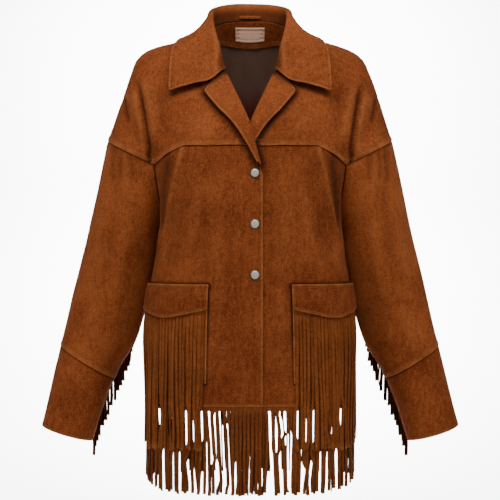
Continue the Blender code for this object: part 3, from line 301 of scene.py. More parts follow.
def arriving(angle, z, s, fullness):
    """The yoke seam's points on the body, and the way the cloth runs down into them."""
    bottom = torso(angle, z)
    return bottom, unit(torso(angle, z - 0.001) - bottom) * (fullness[0] + fullness[1] * s)[..., None]


def front_yoke(s, t):
    """s runs from the neck and front edge to the sleeve, t from the shoulder's top to the yoke seam."""
    first = angle_of_x(YOKE_EDGE_END_X, YOKE_Z)
    left_edge = np.vstack([YOKE_EDGE, torso(first, YOKE_Z)])

    def form(s, t):
        angle = first + (CORNER - first) * s
        bottom, down = arriving(angle, yoke_z(angle), s, FRONT_YOKE_FULLNESS[1])
        leave, change = FRONT_YOKE_FULLNESS[0]
        forward = np.array([0.0, -1.0, 0.0]) * (leave + change * s)[..., None]
        return bridge(along(SHOULDER, s), forward, bottom, down, t[..., None])

    points = between(form, lambda t: along(left_edge, t), sleeve_seam, s, t, (1 - s) ** 3)
    return points + shoulder_crease(s, t)


def shoulder_crease(s, t):
    """A deep soft trough from the shoulder down to the yoke's corner, where chest turns to arm."""
    starts, ends, edge = CREASE_FADES
    along_it = ramp(t, *starts) * (1 - ramp(t, *ends)) * ramp(1 - s, *edge)
    depth = CREASE_DEPTH * along_it * bump(s, CREASE_LINE[0] + CREASE_LINE[1] * t, CREASE_SPREAD)
    return depth[..., None] * CREASE_PUSH


def back_yoke(s, t):
    """s runs from the middle of the back to the sleeve, t from the neck and shoulder down to the yoke seam."""
    middle = np.vstack([BACK_MIDDLE, torso(math.pi, BACK_YOKE_Z)])
    from_neck, from_shoulder, at_seam = (np.array(part) for part in BACK_YOKE_FULLNESS)

    def form(s, t):
        neck = along(BACK_NECK, np.clip(s / NECK_SHARE, 0, 1))
        ridge = along(SHOULDER, np.clip((s - NECK_SHARE) / (1 - NECK_SHARE), 0, 1))
        angle = math.pi + (BACK_CORNER - math.pi) * s
        bottom, down = arriving(angle, back_yoke_z(angle), s, at_seam)
        turn = ramp(s, 0, NECK_SHARE)[..., None]
        leave = (from_neck * (1 - turn) + from_shoulder * turn) * (1 - 0.25 * s)[..., None]
        return bridge(np.where((s < NECK_SHARE)[..., None], neck, ridge), leave, bottom, down, t[..., None])

    return between(form, lambda t: along(middle, t), lambda t: sleeve_seam(t, back=True), s, t, (1 - s * s) ** 6)


print("yoke corner at", sleeve_seam(1.0).round(3))

# %% [markdown]
# ## The sleeves' form
#
# A dropped sleeve is a tube that starts as the armhole's slanting ring and becomes a plain oval
# lower down. The armhole's shape fades out over the first third of its length.

# %% The sleeves
SLEEVE = np.array([
    # share of the length, outer x, outer z, inner x, inner z, front y, back y
    (0.000, 0.2560, -0.194, 0.1570, -0.345, -0.074, 0.082), (0.150, 0.2738, -0.271, 0.1710, -0.402, -0.058, 0.096),
    (0.350, 0.2974, -0.374, 0.1875, -0.478, -0.042, 0.098), (0.550, 0.3225, -0.477, 0.2105, -0.556, -0.036, 0.089),
    (0.715, 0.3427, -0.562, 0.2450, -0.622, -0.033, 0.079), (0.850, 0.3590, -0.631, 0.2660, -0.677, -0.034, 0.070),
    (1.000, 0.3768, -0.7055, 0.2850, -0.7335, -0.036, 0.063),
])
ARMHOLE_FADE = 0.32  # share of the sleeve over which the armhole's form dies away


def armhole(turn):
    """The armhole as a ring: 0 at the top of the sleeve, 0.25 in front, 0.5 under the arm, 0.75 behind."""
    turn = np.mod(np.asarray(turn, float), 1.0)
    back = turn > 0.5
    half = np.where(back, 1 - turn, turn)
    seam = np.clip(half / 0.25, 0, 1)
    z = YOKE_CORNER_Z + (UNDERARM_Z - YOKE_CORNER_Z) * np.clip((half - 0.25) / 0.25, 0, 1)
    upper = np.where(back[..., None], sleeve_seam(seam, back=True), sleeve_seam(seam))
    angle = np.where(back, armhole_angle(z, back=True), armhole_angle(z))
    return np.where((half < 0.25)[..., None], upper, torso(angle, z))


def sleeve(turn, share):
    """The sleeve's outer face: share 0 at the armhole, 1 at the cuff's edge."""
    turn, share = np.broadcast_arrays(np.asarray(turn, float), np.asarray(share, float))
    out, ahead = np.cos(2 * math.pi * turn), np.sin(2 * math.pi * turn)

    def ring(share):
        outer_x, outer_z, inner_x, inner_z, front, back = np.moveaxis(smooth(SLEEVE[:, 0], SLEEVE[:, 1:], share), -1, 0)
        x = (outer_x + inner_x) / 2 + (outer_x - inner_x) / 2 * out
        z = (outer_z + inner_z) / 2 + (outer_z - inner_z) / 2 * out
        return np.stack([x, (front + back) / 2 - (back - front) / 2 * ahead, z], axis=-1)

    fade = (np.clip(1 - share / ARMHOLE_FADE, 0, 1) ** 2)[..., None]
    return ring(share) + fade * (armhole(turn) - ring(np.zeros_like(share)))


print("sleeve along its top:", round(float(np.linalg.norm(sleeve(0.0, 1.0) - sleeve(0.0, 0.0))) * 1000), "mm")

# %% [markdown]
# ## Folds
#
# Worn suede creases where the chest turns to the arm, gathers a little under the sleeve head, and
# rolls in long soft waves elsewhere. A cloth simulation would not put its folds at these places, so
# each main fold is listed: a line on the front or the back view, a height (negative for a
# trough) and a width. No two are alike.

# %% Folds
FRONT, BACK = -1, 1
FOLDS = [  # which pieces, which side, then in millimetres: height, width, and x and z along the line
    ("body", FRONT, [
        (-8, 3.6, 203, -86, 195, -114, 187, -156, 178.5, -208, 172, -290),
        (3.2, 5.5, 211, -100, 203, -130, 194, -170, 186, -235), (2.8, 8.5, 188, -92, 179, -125, 170, -165, 164, -205),
        (-4.6, 4, 229.5, -112, 222.5, -140, 215, -170), (1.8, 6, 216, -112, 210, -140, 201, -172),
        (-1.6, 13, 150, -100, 156, -140, 150, -190), (1, 12, 110, -150, 86, -178, 60, -196),
        (-1.2, 11, 106, -225, 111, -290, 123, -372, 132, -440), (1.2, 9, 86, -260, 94, -320, 106, -390),
        (1, 15, 56, -235, 60, -330, 52, -470, 50, -610), (-0.9, 10, 34, -290, 38, -430, 34, -560),
        (1.8, 8.5, 147, -365, 150, -400, 160, -440), (-1.2, 6.5, 138, -372, 140, -405, 148, -444),
    ]),
    ("panel", FRONT, [
        (5, 3.2, 115, -190, 119.2, -222, 130, -262, 140.5, -308, 154, -370),
        (-5, 11, 140, -212, 145, -240, 151, -290, 159, -365),
    ]),
    ("body", BACK, [
        (-4, 8.5, 200, -90, 190, -135, 176, -190, 170, -236), (-1.8, 6.5, 222, -130, 213, -165),
        (1.6, 16, 150, -90, 128, -150, 120, -205), (-2.2, 14, 118, -235, 112, -330, 124, -450, 128, -560),
        (1.6, 20, 60, -240, 66, -360, 58, -500), (-1.2, 18, 18, -255, 12, -400, 20, -560),
        (1.8, 10, 156, -300, 150, -390, 162, -480),
    ]),
    ("sleeve", FRONT, [
        (-2.6, 5.2, 239.5, -202, 244, -236, 246, -276), (-2.4, 4.4, 227, -210, 230, -240, 229, -270),
        (-2.1, 4.2, 212, -218, 210, -246, 206, -274), (1.7, 4.8, 220, -214, 221, -250, 217, -292),
        (-1.3, 11, 234, -240, 239, -320, 250, -400, 266, -470), (1.6, 12, 256, -270, 268, -360, 283, -450),
        (1.5, 11, 210, -330, 226, -420, 248, -500), (-1, 9, 196, -310, 205, -380, 224, -460),
        (1.2, 10, 270, -480, 288, -545, 296, -580), (-1, 7, 218, -475, 240, -490, 264, -486),
        (-1.2, 12, 216, -560, 240, -610, 260, -700), (5.8, 17, 160, -350, 176, -430, 198, -530, 220, -610),
    ]),
    ("sleeve", BACK, [
        (-1.8, 6, 238, -206, 242, -240, 244, -276), (-1.6, 5.5, 218, -218, 218, -252, 212, -282),
        (-2, 8.5, 230, -330, 246, -372, 270, -392), (-2.4, 8, 228, -410, 252, -440, 282, -446),
        (1.6, 9, 244, -470, 270, -492, 296, -490),
    ]),
]
LEFT_HAND_SHARE, LEFT_HAND_SHIFT = 0.86, 0.0035  # the other half folds nearly, not exactly, alike
FACING_BAND = 0.3  # how quickly a fold dies away as the cloth turns to the other side
END_FADE = 0.20
FOLD_POWER = 1.6  # below 2, so that a fold is a little sharper than a wave
WAVES, WAVE_TURN, WAVE_SHARE = 14, 2.399963, 0.0021  # slow waves, and their height as a share of wavelength


def distance_to_line(places, line):
    """How far each (x, z) place lies from a line of points, and the share of the line nearest to it."""
    before = reached(line)
    best, where = np.full(places.shape[:-1], np.inf), np.zeros(places.shape[:-1])
    for start, end, low, high in zip(line, line[1:], before, before[1:]):
        u = np.clip((places - start) @ (end - start) / (high - low) ** 2, 0, 1)
        away = np.linalg.norm(places - start - u[..., None] * (end - start), axis=-1)
        where = np.where(away < best, (low + u * (high - low)) / before[-1], where)
        best = np.minimum(away, best)
    return best, where


def rumple(points):
    """Slow shallow waves in every direction, the same wherever two pieces meet."""
    total = np.zeros(points.shape[:-1])
    for k in range(WAVES):
        heading = np.array([math.cos(WAVE_TURN * k), math.sin(WAVE_TURN * k), 0.55 * math.cos(1.7 * k + 0.4)])
        wavelength = 0.052 + 0.011 * k
        total += wavelength * np.sin(points @ heading * 2 * math.pi / wavelength + 1.3 * k)
    return total * WAVE_SHARE


def folds(points, normals, pieces="body"):
    """The height of the listed folds at these points of the body or of the sleeves."""
    total = np.zeros(points.shape[:-1])
    left = points[..., 0] < 0
    for group, side, rows in FOLDS:
        shown = ramp(side * normals[..., 1], -FACING_BAND, FACING_BAND)
        for row in rows if group in pieces.split() else ():
            height, width, *line = np.array(row) / 1000
            line = np.reshape(line, (-1, 2))
            moved = LEFT_HAND_SHIFT * math.sin(40 * line[0, 0])
            for hand, share, shift in ((1, 1.0, 0.0), (-1, LEFT_HAND_SHARE, moved)):
                places = np.stack([points[..., 0] * hand, points[..., 2]], axis=-1)
                away, where = distance_to_line(places, line + np.array([0.0, shift]))
                ends = ramp(where, 0, END_FADE) * ramp(1 - where, 0, END_FADE)
                fold = share * height * ends * shown * np.exp(-((away / width) ** FOLD_POWER))
                total += np.where(left == (hand < 0), fold, 0)
    return total


def raised(points, normals, out=0.0, pieces="body"):
    """Points moved out with the cloth's folds and waves, and by the given distance."""
    return points + normals * (rumple(points) + folds(points, normals, pieces) + out)[..., None]


print(sum(len(rows) for _, _, rows in FOLDS), "folds")

# %% [markdown]
# ## Finishes
#
# One function adds a shader node with its settings and its links, and each finish is then a short
# list of such nodes. Colours are hex values, turned to the linear values that the renderer works with.

# %% Node and colour helpers
def hex_colour(code):
    """An sRGB hex colour as linear RGBA."""
    channels = [int(code[i : i + 2], 16) / 255 for i in (1, 3, 5)]
    return (*(c / 12.92 if c <= 0.04045 else ((c + 0.055) / 1.055) ** 2.4 for c in channels), 1.0)


def feed(tree, node, inputs):
    """Sets a node's inputs. Each is a value, a hex colour, or a socket or a node (its first output) to link."""
    for name, value in inputs.items():
        if isinstance(value, bpy.types.Node):
            value = next(socket for socket in value.outputs if socket.enabled)
        if isinstance(value, bpy.types.NodeSocket):
            tree.links.new(value, node.inputs[name])
        else:
            node.inputs[name].default_value = hex_colour(value) if isinstance(value, str) else value


def add_node(tree, kind, inputs, **settings):
    """Adds a shader node with its own settings and its inputs."""
    node = tree.nodes.new("ShaderNode" + kind)
    for name, value in settings.items():
        setattr(node, name, value)
    feed(tree, node, inputs)
    return node


def new_finish(name, **shader_values):
    """A material with its Principled shader set to constant values, and the place on the piece."""
    finish = bpy.data.materials.new(name)
    finish.use_nodes = True
    shader = finish.node_tree.nodes["Principled BSDF"]
    feed(finish.node_tree, shader, {socket.replace("_", " "): value for socket, value in shader_values.items()})
    return finish, finish.node_tree, shader, add_node(finish.node_tree, "TexCoord", {}).outputs["Object"]


print("rust brown in linear light:", [round(c, 3) for c in hex_colour("#8A4A1E")])

# %% [markdown]
# ## Suede
#
# Suede is the flesh side of cowhide, buffed with fine abrasive until its fibres stand up as a nap.
# It has no gloss. The eye sees a soft mottle, because the fibres lie this way here and that way
# there, with a faint grain, larger clouds a hand wide where the hide took the dye unevenly, and a
# pale bloom along rubbed edges. The finish adds a painted highlight on edges, fold ridges and strands
# on top of that bloom, and mixes a painted shade colour into grooves, troughs and the cloth under
# overlying edges. Fibres scatter light sideways, which is what the sheen value gives.
# The nap itself, of a tenth of a millimetre, is too fine to show and is drawn at about two.

# %% Suede
CLOUD_SIZE = 0.085  # metres: how the hide took the dye
MOTTLE_SIZE = 0.0065  # brushed patches of nap
STREAK_SIZE = 0.0040  # strokes of the brush, down the garment
GRAIN_SIZE = 0.0021  # the nap, drawn coarser than it is
NAP_HEIGHT = 0.00035


def suede(name, dark, light, worn, deep, mottle_strength=1.0):
    finish, tree, shader, place = new_finish(
        name, Roughness=0.92, IOR=1.45, Specular_IOR_Level=0.10, Sheen_Weight=0.04, Sheen_Roughness=0.5,
        Sheen_Tint="#E09A5C")
    drawn_out = add_node(tree, "Mapping", {"Vector": place, "Scale": (1.0, 1.0, 0.16)})
    cloud, mottle, streak, grain = (
        add_node(tree, "TexNoise", {"Vector": at, "Scale": 1 / size, "Detail": detail, "Roughness": rough,
                                    "Distortion": swirl})
        for at, size, detail, rough, swirl in (
            (place, CLOUD_SIZE, 3.0, 0.55, 0.0), (place, MOTTLE_SIZE, 6.0, 0.68, 0.6),
            (drawn_out, STREAK_SIZE, 3.0, 0.6, 0.0), (place, GRAIN_SIZE, 2.0, 0.7, 0.0)))
    painted = add_node(tree, "SeparateColor", {"Color": add_node(tree, "Attribute", {}, attribute_name="nap")}).outputs
    share = painted["Blue"]
    for texture, weight in ((cloud, 1.1), (mottle, 1.1 * mottle_strength), (streak, 0.8 * mottle_strength), (grain, 1.9)):
        centred = add_node(tree, "Math", {0: texture, 1: -0.5}, operation="ADD")
        share = add_node(tree, "Math", {0: centred, 1: weight, 2: share}, operation="MULTIPLY_ADD")
    colour = add_node(tree, "Mix", {0: share, 6: dark, 7: light}, data_type="RGBA")
    # red channel: rubbed nap, and painted highlight on edges, fold ridges and strands
    speckle = add_node(tree, "Math", {0: painted["Red"], 1: mottle}, operation="MULTIPLY")
    rubbed_and_lit = add_node(tree, "Math", {0: speckle, 1: 1.5}, operation="MULTIPLY", use_clamp=True)
    colour = add_node(tree, "Mix", {0: rubbed_and_lit, 6: colour, 7: worn}, data_type="RGBA")
    # green channel: painted shade in grooves, troughs, under laps and beside overlying edges
    colour = add_node(tree, "Mix", {0: painted["Green"], 6: colour, 7: deep}, data_type="RGBA")
    coarse = add_node(tree, "Bump", {"Height": mottle, "Strength": 0.7, "Distance": NAP_HEIGHT * 2.4})
    fine = add_node(tree, "Bump", {"Height": grain, "Normal": coarse, "Strength": 0.75, "Distance": NAP_HEIGHT})
    feed(tree, shader, {"Base Color": colour, "Normal": fine})
    return finish


SUEDE = suede("cowhide_suede_rust", dark="#602A12", light="#9C532B", worn="#B06C3C", deep="#2E1406")
# the fringe takes a darker copy of the same suede: painted shade for the hanging strands
FRINGE_SUEDE = suede("cowhide_suede_fringe", dark="#5A2A10", light="#8E4C24", worn="#A26032", deep="#240E06",
                     mottle_strength=0.8)
print("suede in", len(SUEDE.node_tree.nodes), "nodes")

# %% [markdown]
# ## Lining, label, thread and metal
#
# The lining is a filament satin: long floats of smooth yarn, so it has a soft sheen and no nap. It
# takes a dark wine tone lower down. The label is a patch of pale nubuck, left blank. The thread is
# spun polyester, dyed a little lighter than the suede. The snap caps are brass, plated in pewter
# colour and tumbled, which leaves fine dull scratches.

# %% Lining, label, thread and metal
YARN_PITCH = 0.0009  # satin floats, drawn about four times as coarse as they are
WINE_ZS = (-0.132, -0.084)  # the lining turns from wine to brown between these heights


def satin_lining():
    finish, tree, shader, place = new_finish(
        "filament_satin", Roughness=0.42, IOR=1.5, Specular_IOR_Level=0.5, Sheen_Weight=0.25, Sheen_Roughness=0.4)
    height = add_node(tree, "SeparateXYZ", {"Vector": place}).outputs["Z"]
    low = add_node(tree, "MapRange", {"Value": height, "From Min": WINE_ZS[0], "From Max": WINE_ZS[1]})
    colour = add_node(tree, "Mix", {0: low, 6: "#5C0E0A", 7: "#66493A"}, data_type="RGBA")
    floats = add_node(tree, "TexWave", {"Vector": place, "Scale": 1 / YARN_PITCH / 6, "Distortion": 0.4, "Detail": 1.0},
                      bands_direction="DIAGONAL").outputs["Fac"]
    relief = add_node(tree, "Bump", {"Height": floats, "Strength": 0.25, "Distance": 0.0001})
    feed(tree, shader, {"Base Color": colour, "Normal": relief})
    return finish


def nubuck_label():
    finish, tree, shader, place = new_finish(
        "nubuck_pale", Roughness=0.8, IOR=1.45, Specular_IOR_Level=0.3, Sheen_Weight=0.1)
    grain = add_node(tree, "TexNoise", {"Vector": place, "Scale": 420.0, "Detail": 5.0, "Roughness": 0.65})
    painted = add_node(tree, "SeparateColor", {"Color": add_node(tree, "Attribute", {}, attribute_name="nap")}).outputs
    colour = add_node(tree, "Mix", {0: grain, 6: "#F0B090", 7: "#FFD9BE"}, data_type="RGBA")
    # painted shade, from the green channel, in the grooves along its stitches
    colour = add_node(tree, "Mix", {0: painted["Green"], 6: colour, 7: "#8A5A40"}, data_type="RGBA")
    relief = add_node(tree, "Bump", {"Height": grain, "Strength": 0.4, "Distance": 0.0002})
    feed(tree, shader, {"Base Color": colour, "Normal": relief})
    return finish


def spun_thread():
    finish, tree, shader, place = new_finish("spun_polyester_thread", Roughness=0.7, IOR=1.5, Specular_IOR_Level=0.3)
    fibre = add_node(tree, "TexNoise", {"Vector": place, "Scale": 900.0, "Detail": 2.0})
    feed(tree, shader, {"Base Color": add_node(tree, "Mix", {0: fibre, 6: "#7C451C", 7: "#A4682F"}, data_type="RGBA")})
    return finish


def tumbled_pewter(name, base, roughness):
    finish, tree, shader, place = new_finish(name, Metallic=1.0, Roughness=roughness)
    scuff = add_node(tree, "TexNoise", {"Vector": place, "Scale": 900.0, "Detail": 4.0, "Roughness": 0.7})
    tone = add_node(tree, "MapRange", {"Value": scuff, "To Min": 0.0, "To Max": 0.35})
    colour = add_node(tree, "Mix", {0: tone, 6: base, 7: "#7C7468"}, data_type="RGBA")
    dull = add_node(tree, "MapRange", {"Value": scuff, "To Min": roughness - 0.08, "To Max": roughness + 0.12})
    relief = add_node(tree, "Bump", {"Height": scuff, "Strength": 0.25, "Distance": 0.00008})
    feed(tree, shader, {"Base Color": colour, "Roughness": dull, "Normal": relief})
    return finish


SATIN, LABEL, THREAD = satin_lining(), nubuck_label(), spun_thread()
PEWTER = tumbled_pewter("tumbled_pewter", "#E8E4DA", 0.36)
# the rim is the same pewter with a darker base colour: painted shade
PEWTER_SHADED_RIM = tumbled_pewter("tumbled_pewter_rim", "#5C5548", 0.44)
print("finishes:", ", ".join(m.name for m in (SUEDE, FRINGE_SUEDE, SATIN, LABEL, THREAD, PEWTER, PEWTER_SHADED_RIM)))

# %% [markdown]
# ## From a grid of points to cloth
#
# Every cut piece is a grid: rows run down the garment and columns across, closer together along its
# edges, where a seam needs fine relief. From it comes a closed shell: the outer face, the same face
# moved in by the cloth's thickness, and a rounded rim between them. Each point also carries painted
# values, how pale the nap is from rubbing and from painted highlight, how deep in painted shade, and
# its tone, and the finish reads them.

# %% Cloth grids and shells
EDGE_STEPS = np.array([0, 0.6, 1.3, 2.2, 3.3, 4.4, 5.5, 7.0, 8.6, 9.8, 11.0, 13.0]) / 1000
RIM_ROUNDING = 0.42  # how far the rim bulges, as a share of the wall


def spaced(length, step, first=True, last=True):
    """Places from 0 to 1 along a cloth of this length, closer together near its sewn edges."""
    low = EDGE_STEPS[-1] if first else 0.0
    high = length - (EDGE_STEPS[-1] if last else 0.0)
    middle = np.linspace(low, high, max(1, round((high - low) / step)) + 1)
    after = length - EDGE_STEPS[-2::-1] if last else []
    return np.concatenate([EDGE_STEPS[:-1] if first else [], middle, after]) / length


def reaches(grid):
    """How far each point lies from each edge of its piece, along the cloth."""
    down, across = reached(grid, axis=0), reached(grid, axis=1)
    return dict(top=down, bottom=down[-1] - down, left=across, right=across[:, -1:] - across)


def rounded(grid, radius, corners):
    """Rounds some corners of a piece, each named by the two edges that meet there."""
    reach = reaches(grid)
    down, across = unit(np.gradient(grid, axis=0)), unit(np.gradient(grid, axis=1))
    moved = grid.copy()
    for row_edge, column_edge in corners:
        a, b = (np.clip(1 - reach[edge] / radius, 0, 1) for edge in (row_edge, column_edge))
        moved -= down * (1 if row_edge == "bottom" else -1) * (radius * a * (1 - np.sqrt(1 - b * b / 2)))[..., None]
        moved -= across * (1 if column_edge == "right" else -1) * (radius * b * (1 - np.sqrt(1 - a * a / 2)))[..., None]
    return moved


def made(name, points, faces, finishes, painted=None, which=None, slot="suede"):
    """A mesh with its finishes, as a piece that rides on the garment's one body."""
    mesh = bpy.data.meshes.new(name)
    mesh.from_pydata(points, [], faces)
    mesh.shade_smooth()
    for finish in finishes:
        mesh.materials.append(finish)
    if painted is not None:
        # red: paleness from rubbing and painted highlight, green: painted shade, blue: tone
        mesh.color_attributes.new("nap", "FLOAT_COLOR", "POINT").data.foreach_set("color", painted.ravel())
    if which is not None:
        mesh.polygons.foreach_set("material_index", which)
    piece = bpy.data.objects.new(name, mesh)
    scene.collection.objects.link(piece)
    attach(piece, "root")
    return piece


def shell(name, outer, normals, finish, wall=WALL, pale=0, shade=0, tone=0, ring=False, inside=None, slot="suede"):
    """A closed cloth from a grid of points, with a rounded rim. inside is the finish of its inner face."""
    rows, columns = outer.shape[:2]
    size = rows * columns
    index = np.arange(size).reshape(rows, columns)
    wrapped = np.concatenate([index, index[:, :1]], axis=1) if ring else index
    front = np.stack([wrapped[:-1, :-1], wrapped[:-1, 1:], wrapped[1:, 1:], wrapped[1:, :-1]], axis=-1).reshape(-1, 4)
    face, back = outer.reshape(-1, 3), (outer - normals * wall).reshape(-1, 3)
    points, quads, sources, total = [face, back], [front, size + front[:, ::-1]], [np.arange(size)] * 2, 2 * size
    around = np.concatenate([index[0], index[1:, -1], index[-1, -2::-1], index[-2:0:-1, 0]])
    for p in (index[0], index[-1, ::-1]) if ring else (around,):
        column = p % columns if ring else np.clip(p % columns, 1, columns - 2)
        away = unit(face[p] - face[np.clip(p // columns, 1, rows - 2) * columns + column])
        points.append((face[p] + back[p]) / 2 + away * wall * RIM_ROUNDING)
        rim = total + np.arange(len(p))
        q, next_rim = np.roll(p, -1), np.roll(rim, -1)
        quads += [np.stack([q, p, rim, next_rim], axis=-1), np.stack([next_rim, rim, size + p, size + q], axis=-1)]
        sources.append(p)
        total += len(p)
    points, faces, source = (np.concatenate(part) for part in (points, quads, sources))
    middle = (rows // 2, columns // 2)
    across = outer[middle[0], middle[1] + 1] - outer[middle]
    down = outer[middle[0] + 1, middle[1]] - outer[middle]
    if np.dot(np.cross(across, down), normals[middle]) < 0:
        faces = faces[:, ::-1]
    values = [np.broadcast_to(value, (rows, columns)).ravel()[source] for value in (pale, shade, tone, 1)]
    which = (np.arange(len(faces)) // len(front) == 1) * 1 if inside else None
    return made(name, points, faces, [finish] + [inside] * bool(inside), np.stack(values, axis=-1), which, slot)


print("rows down a 100 mm strip:", len(spaced(0.1, 0.0035)))

# %% [markdown]
# ## Seams
#
# Four kinds of edge make this jacket. In a lapped seam one piece lies over the other, folded under
# and stitched down, so its edge is a padded band with a groove along the stitches, and the piece
# below dips under it. A free edge, as on a collar, is turned and stitched close by. A plain seam is
# pressed open and leaves a small valley. Edges are paler, partly where rubbing lifts the nap and
# partly as a painted highlight, and grooves, valleys and the edge under a lap get painted shade.
# Each cloth is declared with the size it was cut to, measured along its own surface.

# %% Seams
STITCH_INSET, LAP_INSET, FREE_INSET = 0.0055, 0.0098, 0.0048  # how far from an edge its stitches run
LAP_HEIGHT, LAP_END = 0.0009, (0.0085, 0.0130)  # the padded band of a lapped edge
SEAM_FORMS = {
    # bumps of relief, of paleness (rubbing and painted highlight) and of painted shade: strength, distance from the
    # edge, width
    "lap": ([(-0.0006, LAP_INSET, 0.0012)], [(0.60, 0, 0.0018), (0.30, 0.0045, 0.0040)], [(0.34, LAP_INSET, 0.0013)]),
    "under": ([(-0.0012, 0, 0.0028)], [], [(0.95, 0, 0.0028)]),
    "free": ([(0.0003, 0.0026, 0.0018), (-0.0004, 0.0048, 0.0009)], [(0.66, 0, 0.0015), (0.24, 0.0026, 0.0016)],
             [(0.34, 0.0048, 0.0010)]),
    "plain": ([(-0.0006, 0, 0.0018)], [(0.10, 0.0030, 0.0020)], [(0.75, 0, 0.0017)]),
}
PUCKER_HEIGHT, PUCKER_LENGTH, PUCKER_REACH = 0.00035, 0.0085, 0.004
RIDGE_HIGHLIGHT, TROUGH_SHADE, TROUGH_MOST = 110, 150, 0.75  # painted highlight on a fold's ridge and painted shade in its trough
FOLD_HOLD = 0.009  # an armhole or side seam holds the cloth flat this close by, so that both sides meet
cloth = {}


def called(part, hand="", what=""):
    return "_".join(filter(None, (part, what, hand)))


def sewn(grid, edges):
    """Relief, paleness and shade of a piece from its edges: {edge: kind of seam}."""
    reach = reaches(grid)
    relief, pale, shade = (np.zeros(grid.shape[:2]) for _ in range(3))
    for edge, kind in edges.items():
        d, run = reach[edge], reach["left" if edge in ("top", "bottom") else "top"]
        form, worn, dark = (sum((k * bump(d, *at) for k, *at in bumps), 0 * d) for bumps in SEAM_FORMS[kind])
        pucker = np.sin(run * 2 * math.pi / PUCKER_LENGTH + 3 * np.sin(run * 41)) * bump(d, STITCH_INSET, PUCKER_REACH)
        relief += form + LAP_HEIGHT * (kind == "lap") * (1 - ramp(d, *LAP_END)) + PUCKER_HEIGHT * pucker
        pale = np.maximum(pale, worn * (0.85 + 0.15 * np.sin(run * 151)))
        shade = np.maximum(shade, dark)
    return relief, pale, shade


def dressed(part, hand, points, normals, edges, tone, pieces="", held=(), height=0.0, pale=0, shade=0, tuck=0.0,
            finish=SUEDE, what="suede", **more):
    """A cut piece on its form, with seams and the folds of some pieces. It is kept as cloth[part, hand].

    held names the edges that a seam holds flat: an armhole holds the slow waves too. tuck adds an
    allowance at the top, under the piece that laps over it.
    """
    relief, own_pale, own_shade = sewn(points, edges)
    if pieces:
        sharp, slow = folds(points, normals, pieces), rumple(points)
        # painted highlight on the folds' ridges and painted shade in their troughs
        own_pale = np.clip(own_pale + RIDGE_HIGHLIGHT * np.clip(sharp, 0, None), 0, 1)
        own_shade = np.clip(own_shade + np.clip(-TROUGH_SHADE * sharp, 0, TROUGH_MOST), 0, 1)
        armhole_share = ramp(points[..., 2], UNDERARM_Z - 0.03, UNDERARM_Z)
        for edge in held:
            holding = 1 - ramp(reaches(points)[edge], 0, FOLD_HOLD)
            sharp, slow = sharp * (1 - holding), slow * (1 - holding * armhole_share)
        height = sharp + slow
    cut = points + normals * (height + relief)[..., None]
    values = cut, normals, np.maximum(own_pale, pale), np.maximum(own_shade, shade)
    if tuck:
        values = [np.concatenate([value[:1], value]) for value in values]
        values[0][0] += unit(cut[0] - cut[1]) * tuck
    piece = shell(called(part, hand, what), *values[:2], finish, pale=values[2], shade=values[3], tone=tone, **more)
    cloth[part, hand] = (piece, cut, normals)


def declare(part, hand, nodes=(), ring=False):
    """Says what a cloth is: the size of its flat cut, and which measured pieces it stands for, which it hides."""
    piece, grid, _ = cloth[part, hand]
    closed = np.concatenate([grid, grid[:, :1]], axis=1) if ring else grid
    width, length = (round(float(reached(closed, axis).take(-1, axis).max()), 3) for axis in (1, 0))
    u, v = closed[1:, 1:] - closed[:-1, :-1], closed[1:, :-1] - closed[:-1, 1:]
    area = round(float(np.linalg.norm(np.cross(u, v), axis=-1).sum() / 2), 4)
    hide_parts(called(part, hand), *nodes)
    print(f"{piece.name}: cut {width * 1000:.0f} x {length * 1000:.0f} mm, {area * 1e4:.0f} cm2")


print("kinds of seam:", ", ".join(SEAM_FORMS))

# %% [markdown]
# ## The fronts and their yokes
#
# Two fronts hang from two yokes. The wearer's right one laps over the left one and carries the snap
# caps, so the left one lies a few millimetres deeper near the middle. Each yoke is lapped over its
# front and stitched down, and its outer edge is lapped over the sleeve.

# %% Fronts
BODY_POINT, YOKE_POINT = np.array([0.0, 0.0, -0.25]), (0.1, 0.01, -0.2)  # inside the body, and inside the yokes
RIDGE_BLEND = 0.10  # share of a yoke over which it turns from the shoulder line's own direction
UNDER_DROP, LAPEL_DROP, UNDER_RAMP = 0.0034, 0.0074, (0.026, 0.056)
LAPEL_DROP_ZS, UNDER_DROP_DEPTHS = (-0.31, -0.262), (0.11, 0.16)
STEP, BACK_STEP = 0.0030, 0.0042  # how finely the cloth is drawn away from its seams


def facing_out(normals, points, inside):
    """The normals, turned as a whole to point away from the point inside."""
    return normals if np.sum(normals * (points - np.asarray(inside))) > 0 else -normals


def surface_normals(form, s, t, step=2e-3):
    """Unit normals of form(s, t) on the unit square, pointing out of the garment."""
    down = form(s, np.clip(t + step, 0, 1)) - form(s, np.clip(t - step, 0, 1))
    across = form(np.clip(s + step, 0, 1), t) - form(np.clip(s - step, 0, 1), t)
    return facing_out(unit(np.cross(across, down)), form(s, t), YOKE_POINT)


def yoke_panel(form, rows, columns):
    """A yoke's points and normals. Along the shoulder line front and back share one direction."""
    t, s = np.meshgrid(rows, columns, indexing="ij")
    points, normals = form(s, t), surface_normals(form, s, t)
    line = unit(np.gradient(points[0], axis=0) * np.array([1, 0, 1]))
    ridge = np.stack([-line[:, 2], np.zeros(len(line)), line[:, 0]], axis=-1)
    own = ramp(t, 0, RIDGE_BLEND)[..., None]
    if form is back_yoke:
        own = np.maximum(own, (s < NECK_SHARE)[..., None])
    normals = unit(normals * own + ridge * (1 - own))
    low = ramp(t, 1 - RIDGE_BLEND, 1)[..., None]
    return points, unit(normals * (1 - low) + torso_normals(points[-1])[None] * low)


